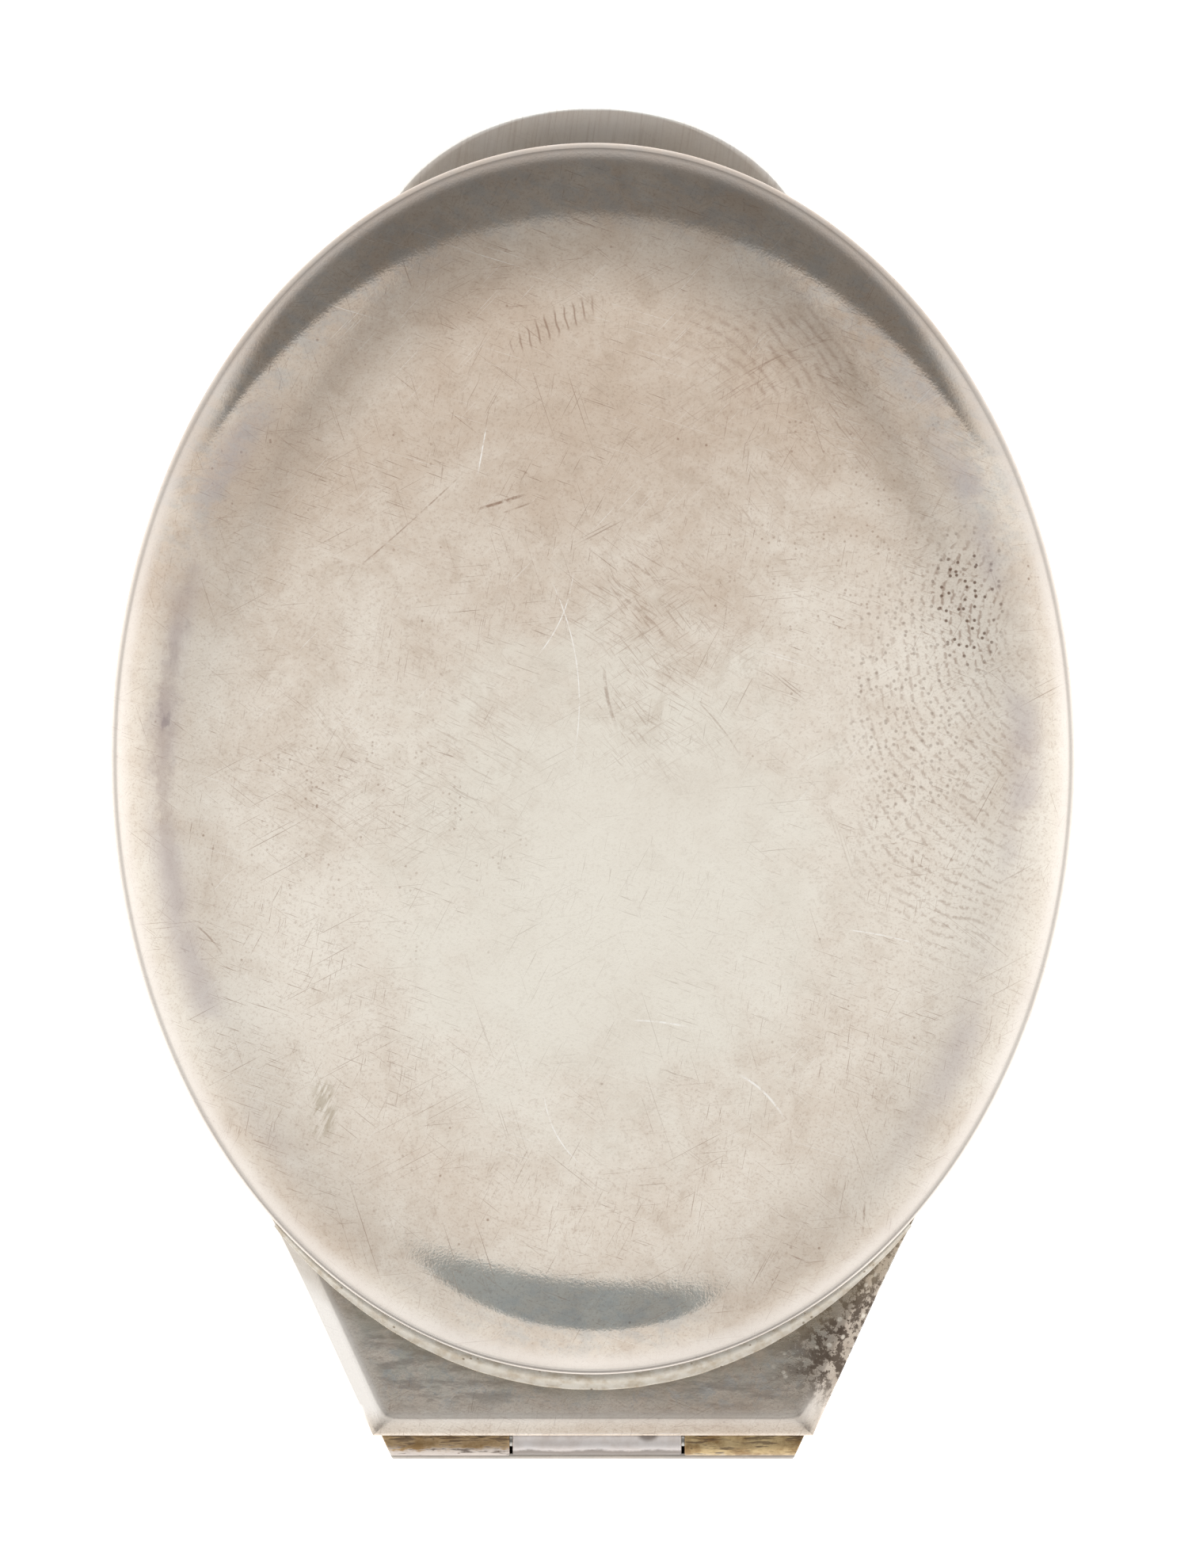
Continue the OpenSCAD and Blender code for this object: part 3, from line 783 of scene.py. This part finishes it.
DISH = dish_silver()
NECK = neck_silver()
ROCKER = plate_silver("rocker_silver", -0.05, (0.90, 0.89, 0.87), 0.55, (82, 0.16))
BEARER = plate_silver("bearer_silver", 0.20, (0.47, 0.43, 0.39), 0.30)
LEFT_BRASS = worn_brass("left_brass", 0.08, (0.56, 0.40, 0.23))
RIGHT_BRASS = worn_brass("right_brass", -0.16, (0.66, 0.50, 0.27))
PLUG_BRASS = worn_brass("plug_brass", 0.0, (0.60, 0.43, 0.19))
MIDDLE = knuckle_silver()
SOLDER = solder()
NICKEL = rolled_metal("nickel", (0.66, 0.63, 0.58), (0.40, 0.37, 0.32), 90, 0.24)
PIN_NICKEL = rolled_metal("pin_nickel", (0.60, 0.58, 0.54), (0.36, 0.33, 0.29), 0, 0.22)
BRONZE = rolled_metal("bronze", (0.66, 0.46, 0.26), (0.36, 0.22, 0.11), 90, 0.27)
PAPER = blotting()


# ---------------------------------------------------------------- the lid's pieces

def oval_ring(inset, z, count=360):
    """A ring of points along the oval's edge, drawn in by an inset."""
    ring = []
    for i in range(count):
        t = 2 * pi * i / count
        out = Vector((cos(t) / oval_w, sin(t) / oval_l)).normalized()
        ring.append((oval_w * cos(t) - inset * out.x, oval_y + oval_l * sin(t) - inset * out.y, z))
    return ring


# the inner wall: steep to its foot, then easing out to the flat floor. Insets from the oval's edge
wall_foot, fade_starts, floor_starts = 1.5, 4.3, 10.0
top_inset, top_angle, angle_fall, foot_fall = 0.3, 36.5, 8.6, 0.735


def wall_slope(inset):
    """How steeply the dish's inner wall falls, as a tangent, at an inset from the oval's edge."""
    if inset < wall_foot:
        return tan(radians(top_angle - angle_fall * (inset - top_inset)))
    fade = min(1, max(0, (inset - fade_starts) / (floor_starts - fade_starts)))
    return foot_fall / inset * (1 - fade * fade * (3 - 2 * fade))


def dish_section():
    """(inset, z) from the underside round the rim and down the inner wall to the floor's edge."""
    outer_wall = ((0.5, 0.0), (0.24, 0.10), (0.12, 0.4), (0.03, 1.1), (0.0, 1.6))
    section = [(inset, dish_z + up) for inset, up in outer_wall]
    lean = degrees(atan2(wall_slope(rim_r * 1.5), 1))
    section += [(2 * rim_r - a, b) for a, b in arc(evenly(0, 90 + lean, 13), rim_r, rim_r, crest_z - rim_r)]
    inset, z = section[-1]
    steps = 90
    step = (floor_starts - inset) / steps
    for i in range(steps):
        z -= step * wall_slope(inset + step / 2)
        inset += step
        section.append((inset, z))
    return section


def thumb_dish():
    shell = Shell()
    section = dish_section()
    rings = [oval_ring(inset, z) for inset, z in section]
    edge, floor_z = rings[-1], section[-1][1]
    for share in (0.9, 0.75, 0.6, 0.45, 0.3, 0.15, 0.03):
        rings.append([(p[0] * share, oval_y + (p[1] - oval_y) * share, floor_z) for p in edge])
    shell.loft(rings)
    return piece("thumb_dish_plate", shell, "lid", "thumb_dish", DISH, sharp=60)


neck_edge_h, neck_slope, neck_highest = 0.86, 0.15, 2.75
roll_slope, roll_w, roll_ease = tan(radians(36)), 0.92, 0.08


def neck_top(y, inset=2 * roll_w):
    """Height of the neck over the lid plate's underside. Its outer edges are rolled over."""
    over = roll_w - inset
    if abs(over) < roll_ease:
        over = (over + roll_ease) ** 2 / (4 * roll_ease)
    return min(neck_highest, neck_edge_h + neck_slope * (y - neck_y) - roll_slope * max(0.0, over))


def lid_top(x, y, inset):
    """Height of the lid plate's top: the neck outside the dish's wall, and flat under the dish."""
    fx, fy = x / oval_w, (y - oval_y) / oval_l
    gradient = 2 * hypot(fx / oval_w, fy / oval_l)
    within = (1 - fx * fx - fy * fy) / gradient if gradient > 1e-6 else oval_w
    if y > oval_y or within > 1.6:
        return lid_t
    # the neck's top passes into the flat plate beneath the dish's wall
    under = min(1, max(0, (within - 0.3) / 1.2, (y - neck_y - 10.6) / 1.5))
    return neck_top(y, inset) * (1 - under) + lid_t * under


def lid_plate():
    shell = Shell()
    ys = evenly(neck_y, neck_y + 1.5, 12) + evenly(neck_y + 1.75, -20, 62)
    ys += spaced(-19.6, oval_y + oval_l - lid_in - 0.1, 60)
    right = [(lid_half(y), y) for y in ys]
    edge = [(0.12, 0.0), (0.03, 0.0), (0.0, 0.12), (0.0, 0.5), (0.0, 0.9), (0.05, 1.0)]
    edge += [(inset, 1.0) for inset in (0.2, 0.4, 0.6, 0.84, 0.88, roll_w, 0.96, 1.0, 1.25, 1.6)]

    def lift(x, y, share, inset):
        low = 0.06 * (1 - min(1, inset / 0.12)) if share == 0 else 0
        return lid_z + low + share * (lid_top(x, y, inset) - low)

    shell.sheet(right, edge, lift, 72, crease=roll_w)
    return piece("lid_and_neck", shell, "lid", "lid_plate", NECK, sharp=20)


def solder_seam():
    """A fillet of solder in the corner between the dish's wall and the neck."""
    shell = Shell()
    rings = []
    spread, steps = 41, 110
    # outwards from the dish's wall, and up from the neck
    section = ((-0.3, -0.2), (0.84, -0.1), (0.84, 0.02), (0.76, 0.06), (0.42, 0.29), (0.05, 0.56),
               (-0.3, 0.60))
    for i in range(steps + 1):
        t = radians(270 - spread + 2 * spread * i / steps)
        out = Vector((cos(t) / oval_w, sin(t) / oval_l)).normalized()
        foot = Vector((oval_w * cos(t), oval_y + oval_l * sin(t)))
        thin = (0.25 + 0.75 * sin(pi * i / steps)) * (1 + 0.02 * sin(i * 0.9) * sin(i * 0.37))
        ring = []
        for away, up in section:
            p = foot + out * (away * thin if away > 0 else away)
            near = foot + out * max(0.0, away * thin)
            ring.append((p.x, p.y, lid_z + neck_top(near.y) + up * (thin if up > 0 else 1)))
        rings.append(ring)
    shell.loft(rings)
    return piece("solder_fillet", shell, "lid", "solder_seam", SOLDER, sharp=70)


# ---------------------------------------------------------------- the hinge's pieces

def on_hinge(along, across, up):
    """Puts a turned point on the hinge's axis, the barrel's outer ends cut to the neck's slope."""
    lean = tan(neck_flare) * max(0.0, 0.3 - across)
    share = abs(along) / barrel_half
    shift = lean * share ** 6
    return (along - shift if along > 0 else along + shift, hinge_y + across, hinge_z + up)


def knuckle_section(x0, x1, bore, outer, bevel=0.1):
    """(along, radius) round a knuckle's wall, whose outer corners are rounded."""
    left = arc((180, 157.5, 135, 112.5, 90), bevel, x0 + bevel, outer - bevel)
    right = arc((90, 67.5, 45, 22.5, 0), bevel, x1 - bevel, outer - bevel)
    return [(x0, bore), *left, *right, (x1, bore)]


def fixed_knuckle(name, low, high, node, material):
    shell = Shell()
    section = knuckle_section(low.x, high.x, pin_r + 0.01, knuckle_r)
    shell.turn(section, on_hinge, steps=64, wrapped=True)
    return piece(name, shell, "rocker", node, material)


def middle_knuckle():
    """The lid's own knuckle, with the web that joins it to the neck."""
    shell = Shell()
    x0, x1 = middle_low.x, middle_high.x
    section = knuckle_section(x0, x1, pin_r + 0.04, middle_r)
    shell.turn(section, on_hinge, steps=64, wrapped=True)
    # the web's outline about a point inside it
    middle_y, middle_z, top = neck_y + 0.5, hinge_z + 0.6, lid_z + 0.3 - hinge_z - 0.6
    web = ((-0.45, -0.25), (-0.4, top), (0.5, top), (0.5, 0.0), (0.3, -0.4), (0.0, -0.45))
    shell.loft([[(x, middle_y + y * draw, middle_z + z * draw) for y, z in web]
                for x, draw in ((x0, 0.9), (x0 + 0.08, 1.0), (x1 - 0.08, 1.0), (x1, 0.9))])
    return piece("middle_knuckle_tube", shell, "lid", "middle_knuckle", MIDDLE)


def hinge_bearer():
    """The gutter under the barrel that the fixed knuckles are soldered into."""
    shell = Shell()
    first, last = 206, 354
    lip_r = (bearer_r + knuckle_r) / 2
    angles = evenly(first, last, 40)
    outline = [(bearer_r - 0.001, t) for t in angles] + [(lip_r, last + 6)]
    outline += [(knuckle_r + 0.005, t) for t in reversed(angles)] + [(lip_r, first - 3)]
    # rings along the barrel, drawn in at its two ends
    inner = barrel_half - 0.06
    along = [(-barrel_half, 0.5), (-inner, 0.0)]
    along += [(x, 0.0) for x in evenly(0.4 - barrel_half, barrel_half - 0.4, 30)]
    along += [(inner, 0.0), (barrel_half, 0.5)]
    rings = []
    for x, draw in along:
        drawn = [(r + (lip_r - r) * draw, radians(t)) for r, t in outline]
        rings.append([on_hinge(x, r * cos(t), r * sin(t)) for r, t in drawn])
    shell.loft(rings)
    return piece("hinge_gutter", shell, "rocker", "hinge_bearer", BEARER)


def hinge_plugs():
    """Riveted-over ends that close the barrel outside the pin."""
    shell = Shell()
    r, length = pin_r, 0.8
    for side in (-1, 1):
        end = [(0, r), (length * 0.90, r), (length * 0.96, r * 0.92), (length, r * 0.6), (length, 0.02)]
        shell.turn([(side * (barrel_half - length + a), b) for a, b in end], on_hinge, steps=32)
    return piece("barrel_end_plugs", shell, "rocker", "hinge_plugs", PLUG_BRASS)


# ---------------------------------------------------------------- the rocker's pieces

def arc_z(y, r):
    """Height of a drum of radius r about the rocker's rolling line."""
    return rock_r - sqrt(r * r - (y - rock_y) ** 2)


def rolled(along, r, angle):
    """A point at a radius and an angle from the rocker's lowest line."""
    return (along, rock_y + r * sin(radians(angle)), rock_r - r * cos(radians(angle)))


def rocker_lift(x, y, share, inset):
    low, high = arc_z(y, plate_out_r), arc_z(y, plate_in_r)
    reach = y - hinge_y
    bed_r = (knuckle_r + bearer_r) / 2
    if reach < bed_r:
        high = min(high, hinge_z - sqrt(bed_r * bed_r - reach * reach))
    return low + share * (high - low)


def slot_cutter(side):
    """A rounded bar that cuts one of the paper's slots."""
    shell = Shell()
    half, wide = 8.9, 0.55
    outline = arc(evenly(-90, 90, 9), wide, half - wide) + arc(evenly(90, 270, 9), wide, wide - half)
    run, rise = cos(radians(slot_angle)), side * sin(radians(slot_angle))
    rings = []
    for depth in (-2.0, 2.0):
        x, y, z = rolled(0.0, plate_mid_r + depth, side * slot_angle)
        rings.append([(x + along, y + across * run, z + across * rise) for along, across in outline])
    shell.loft(rings)
    return bpy.data.objects.new("slot_cutter", shell.mesh("slot_cutter"))


def rocker_plate():
    shell = Shell()
    ys = evenly(hinge_y + 0.45, -20, 40) + evenly(-19.4, tongue_y, 50)[:-1]
    ys += [y for _, y in arc(range(0, 90, 3), tongue_round, up=tongue_y)]
    right = [(rocker_half(y), y) for y in ys]
    shell.sheet(right, rounded_edge(0.18), rocker_lift, 40)
    blank = bpy.data.objects.new("rocker_blank", shell.mesh("rocker_blank"))
    bpy.context.scene.collection.objects.link(blank)
    cutters = [slot_cutter(side) for side in (-1, 1)]
    for cutter in cutters:
        bpy.context.scene.collection.objects.link(cutter)
        cut = blank.modifiers.new("slot", "BOOLEAN")
        cut.object, cut.solver, cut.operation = cutter, "EXACT", "DIFFERENCE"
    graph = bpy.context.evaluated_depsgraph_get()
    cut_mesh = bpy.data.meshes.new_from_object(blank.evaluated_get(graph))
    for spent in (blank, *cutters):
        bpy.data.objects.remove(spent)
    return piece("rocker_plate_curved", cut_mesh, "rocker", "rocker_plate", ROCKER)


paper_half_l, paper_in = 28.6, 2.8


def paper_half(y):
    return eased_max(oval_half(y - rock_y, paper_half_l, oval_w - paper_in), tab_half)


def blotting_paper():
    """One strip: its face round the outside, its ends brought up through the slots and laid back."""
    shell = Shell()
    face_r, tail_r = rock_r - paper_t / 2, plate_in_r - paper_t / 2
    # (radius, angle) along the strip: a tail, the rise through its slot, the face, and back
    tail_angle, bend, ease_angle = 7.5, 0.35, 0.12
    end = [(tail_r, t) for t in evenly(slot_angle - tail_angle, slot_angle - bend, 9)]
    end += [(tail_r + 0.05, slot_angle - ease_angle), (tail_r + 0.25, slot_angle)]
    end += [(face_r - 0.25, slot_angle), (face_r - 0.05, slot_angle - ease_angle)]
    path = end + [(face_r, t) for t in evenly(slot_angle - bend, bend - slot_angle, 90)]
    path += [(r, -t) for r, t in reversed(end)]
    spots = [Vector(rolled(0, r, t)[1:]) for r, t in path]
    shoulder = slot_angle - 1.0
    rings = []
    for i, (r, t) in enumerate(path):
        along = (spots[min(i + 1, len(spots) - 1)] - spots[max(i - 1, 0)]).normalized()
        across = Vector((-along.y, along.x)) * paper_t / 2
        wide = paper_half(spots[i].x) if r == face_r else tab_half
        if r == face_r and abs(t) > shoulder:
            ease = (abs(t) - shoulder) / (slot_angle - bend - shoulder)
            wide = tab_half + (wide - tab_half) * sqrt(max(0.0, 1 - ease * ease))
        section = [(u * (wide - 0.15), 1.0) for u in evenly(-1, 1, 21)]
        section += [(wide - 0.04, 0.7), (wide, 0.0), (wide - 0.04, -0.7)]
        section += [(-x, -up) for x, up in section]
        rings.append([(x, spots[i].x + across.x * up, spots[i].y + across.y * up) for x, up in section])
    shell.loft(rings)
    return piece("paper_strip", shell, "rocker", "blotting_paper", PAPER)


# ---------------------------------------------------------------- the catch and the spring

stud_y = (stud_low.y + stud_high.y) / 2
ball_r = 0.95
clip_t = 0.4
ball_z = stud_low.z + ball_r
clip_angle = degrees(atan2(stud_y - rock_y, rock_r - ball_z))


def at_clip(point):
    """A point given about the clip's middle: X, along the curve, and up from the plate's middle."""
    x, along, up = point
    px, py, pz = rolled(x, plate_mid_r - up, clip_angle)
    return (px, py + along * cos(radians(clip_angle)), pz + along * sin(radians(clip_angle)))


def catch_clip():
    shell = Shell()
    base_half_w, base_half_l, corner = 3.7, 2.0, 0.8

    def lift(x, y, share, inset):
        return plate_t / 2 - 0.02 + clip_t * share

    shell.sheet(rounded_right(base_half_w, base_half_l, corner), rounded_edge(0.12), lift, 12)
    top = plate_t / 2 + clip_t
    # each arm, out from the foot and up: (X, height), narrower from its mouth on
    path = [Vector((x, top + up)) for x, up in (
        (2.3, 0.18), (1.7, 0.18), (1.38, 0.28), (1.22, 0.6),
        (1.2, 1.2), (1.24, 1.7), (1.40, 2.05), (1.62, 2.2))]
    mouth, arm_half, bevel = 5, 1.5, 0.1
    for side in (-1, 1):
        rings = []
        for i, at in enumerate(path):
            run = (path[min(i + 1, len(path) - 1)] - path[max(i - 1, 0)]).normalized()
            off = Vector((-run.y, run.x)) * clip_t / 2
            half = arm_half - 0.25 * max(0, i - mouth)
            upper = ((-half, 0.6), (bevel - half, 1), (half - bevel, 1), (half, 0.6))
            section = upper + tuple((along, -draw) for along, draw in reversed(upper))
            rings.append([(side * (at.x + off.x * draw), along, at.y + off.y * draw)
                          for along, draw in section])
        shell.loft(rings)
    shell.points = [at_clip(p) for p in shell.points]
    return piece("catch_clip_spring", shell, "rocker", "catch_clip", BRONZE)


def dome(z, r, h, steps=6):
    """(up, radius) over a rivet's domed head of height h."""
    return [(z + h * sin(radians(t)), max(0.02, r * cos(radians(t)))) for t in evenly(0, 90, steps)]


def clip_rivets():
    shell = Shell()
    top = plate_t / 2 + clip_t
    section = [(-a, b) for a, b in reversed(dome(plate_t / 2 - 0.02, 0.62, 0.08))]
    section += [(-plate_t / 2 + 0.05, 0.45), (top, 0.45), (top, 0.8), (top + 0.06, 0.8)]
    section += dome(top + 0.08, 0.78, 0.27)
    for side in (-1, 1):
        shell.turn(section, lambda a, b, c: at_clip((side * 2.7 + b, c, a)), steps=32)
    return piece("clip_rivet_pair", shell, "rocker", "clip_rivets", NICKEL)


leaf_t = 0.4
leaf_half_l = (leaf_high.y - leaf_low.y) / 2
leaf_drop = leaf_high.z - leaf_low.z
leaf_r = (leaf_half_l ** 2 + leaf_drop ** 2 - leaf_t ** 2) / (2 * (leaf_drop - leaf_t))


def leaf_z(y, r):
    """Height of the leaf spring's arc, its outside at leaf_r and its inside at leaf_r - leaf_t."""
    return leaf_high.z - leaf_r + sqrt(r * r - (y - rock_y) ** 2)


def pressure_spring():
    shell = Shell()
    half_w, corner = leaf_high.x, 2.2
    straight = leaf_half_l - corner
    turn = [straight + corner * sin(radians(t)) for t in evenly(0, 90, 9)]
    along = [-t for t in reversed(turn)] + evenly(-straight, straight, 60)[1:-1] + turn
    right = []
    for y in along:
        over = max(0.0, abs(y) - straight)
        right.append((half_w - corner + sqrt(max(0.0, corner * corner - over * over)), rock_y + y))

    def lift(x, y, share, inset):
        return leaf_z(y, leaf_r - leaf_t * (1 - share))

    shell.sheet(right, rounded_edge(0.12), lift, 16)
    return piece("leaf_spring", shell, "lid", "pressure_spring", BRONZE)


def spring_plate():
    shell = Shell()
    half, corner = plate_high.x, 1.3
    right = rounded_right(half, half, corner, (plate_low.y + plate_high.y) / 2)

    def lift(x, y, share, inset):
        return plate_low.z + (leaf_z(y, leaf_r - leaf_t) - plate_low.z) * share

    shell.sheet(right, rounded_edge(0.16), lift, 16)
    return piece("spring_clamp", shell, "lid", "spring_plate", NICKEL)


def spring_rivets():
    shell = Shell()
    low, high = box_mm("spring_rivets")
    r, h = high.x, 0.5
    section = [(low.z + h - up, wide) for up, wide in reversed(dome(0.08, r, h - 0.08))]
    section += [(low.z + h, r), (low.z + h, 0.6), (dish_z - 0.05, 0.6)]
    for y in (low.y + r, high.y - r):
        shell.turn(section, lambda a, b, c: (b, y + c, a), steps=40)
    return piece("spring_rivet_pair", shell, "lid", "spring_rivets", NICKEL)


def catch_stud():
    shell = Shell()
    flange_r, flange_h, neck_r = stud_high.x, 0.4, 0.62
    reach = degrees(atan2(sqrt(ball_r ** 2 - neck_r ** 2), neck_r))
    section = [(z, max(0.02, r)) for r, z in arc(evenly(-90, reach, 20), ball_r, up=ball_z)]
    foot = lid_z - flange_h
    section += [(foot - 0.15, neck_r), (foot - 0.04, neck_r + 0.06), (foot, neck_r + 0.2)]
    section += [(foot, flange_r - 0.12), (foot + 0.04, flange_r - 0.03), (foot + 0.12, flange_r)]
    section.append((lid_z + 0.02, flange_r))
    shell.turn(section, lambda a, b, c: (b, stud_y + c, a), steps=48)
    return piece("catch_ball_stud", shell, "lid", "catch_stud", NICKEL)


thumb_dish()
lid_plate()
solder_seam()
middle_knuckle()
pressure_spring()
spring_plate()
spring_rivets()
catch_stud()
fixed_knuckle("left_knuckle_tube", left_low, left_high, "left_knuckle", LEFT_BRASS)
fixed_knuckle("right_knuckle_tube", right_low, right_high, "right_knuckle", RIGHT_BRASS)
hinge_bearer()
hinge_plugs()
rocker_plate()
blotting_paper()
catch_clip()
clip_rivets()

pin = frame["nodes"]["hinge_pin"]
pin.data.materials.clear()
pin.data.materials.append(PIN_NICKEL)


# ---------------------------------------------------------------- studio

def studio_world():
    """A bright white tent: darker low on the hinge side, with one small dark card beyond the tongue."""
    world = bpy.data.worlds.new("tent")
    bpy.context.scene.world = world
    world.use_nodes = True
    bench = Bench(world.node_tree)
    toward = bench.make("ShaderNodeTexCoord", {}, {}, "Generated")
    x, y, z = bench.axes(toward)
    # brightness from the zenith (0.5) to the tongue's side (1), and to the hinge side (0) where
    # the tent hangs open on a dark room
    open_fall = bench.ramp(y * 0.5 + 0.5, (
        (0.000, 0.28), (0.316, 0.29), (0.322, 0.53), (0.345, 0.56), (0.415, 0.67), (0.470, 0.86),
        (0.500, 1.00), (0.560, 0.98), (0.650, 0.93), (0.780, 0.95), (0.880, 1.06), (1.000, 1.10),
    ))
    # the tent's side walls are shut, and reach round to the edge of the opening
    shut_fall = bench.ramp(y * 0.5 + 0.5, ((0.0, 1.0), (0.30, 0.85), (0.5, 1.0), (0.65, 0.95), (1.0, 1.1)))
    shut = abs(x).between(0.66, 0.80)
    walls = abs(x).between(0.12, 0.28) * y.between(-0.366, -0.356) * 0.90
    # low down the pale table is seen through the opening
    table = z.between(0.60, 0.24) * (0.84 + abs(x).between(0.0, 0.3) * 0.08) + z.between(0.24, 0.14) * 0.1
    fall = bench.blend(shut, bench.axes(open_fall)[0].most(walls).most(table), shut_fall)
    sides = bench.ramp(abs(x), (
        (0.0, 1.0), (0.20, 0.95), (0.33, 0.90), (0.45, 0.95), (0.80, 1.15), (0.95, 1.3), (1.0, 1.3),
    ))
    light = bench.axes(bench.vector("MULTIPLY", fall, sides))[0]
    card_x, card_y = (x - 0.02) / 0.19, (y - 0.42 + x * 0.22) / 0.145
    card = (card_x * card_x + card_y * card_y).root().between(1.04, 0.96) * z.between(0, 0.05)
    light = light * (1 - card * 0.52)
    tint = bench.blend(card, (1.0, 1.0, 1.0), (0.90, 1.0, 1.06))
    tent = bench.make("ShaderNodeBackground", {}, {"Color": tint, "Strength": light})
    plain = bench.make("ShaderNodeBackground", {}, {"Color": (1, 1, 1, 1), "Strength": 1.0})
    seen = bench.make("ShaderNodeLightPath", {}, {}, "Is Camera Ray")
    shown = bench.make("ShaderNodeMixShader", {}, {0: seen, 1: tent, 2: plain})
    bench.make("ShaderNodeOutputWorld", {}, {"Surface": shown}, out=None)


def studio_floor():
    """A plain pale floor under the paper's lowest line."""
    half = 1.5
    corners = [(-half, -half, 0), (half, -half, 0), (half, half, 0), (-half, half, 0)]
    shell = bpy.data.meshes.new("floor")
    shell.from_pydata(corners, [], [(0, 1, 2, 3)])
    floor = bpy.data.objects.new("floor", shell)
    bpy.context.scene.collection.objects.link(floor)
    bench, material = bench_for("floor_white")
    bench.surface((0.88, 0.88, 0.88, 1), 0.0, 0.9, None, 0, {
        "Specular IOR Level": 0.0, "Emission Color": (1, 1, 1, 1), "Emission Strength": 0.75})
    floor.data.materials.append(material)


def studio_camera():
    """Straight overhead, far off, with the tongue at the top of the frame."""
    view_h, sensor, lens = 0.0826, 0.036, 1000
    aim_x, aim_y = 0.00006, -0.00004
    lens_data = bpy.data.cameras.new("overhead")
    lens_data.lens = lens
    lens_data.sensor_width = sensor / MM
    lens_data.clip_start, lens_data.clip_end = 0.05, 10
    camera = bpy.data.objects.new("overhead", lens_data)
    bpy.context.scene.collection.objects.link(camera)
    camera.location = (aim_x, aim_y, crest_z * MM + view_h * lens * MM / sensor)
    bpy.context.scene.camera = camera


studio_world()
studio_floor()
studio_camera()
bpy.context.scene.view_settings.view_transform = "Standard"
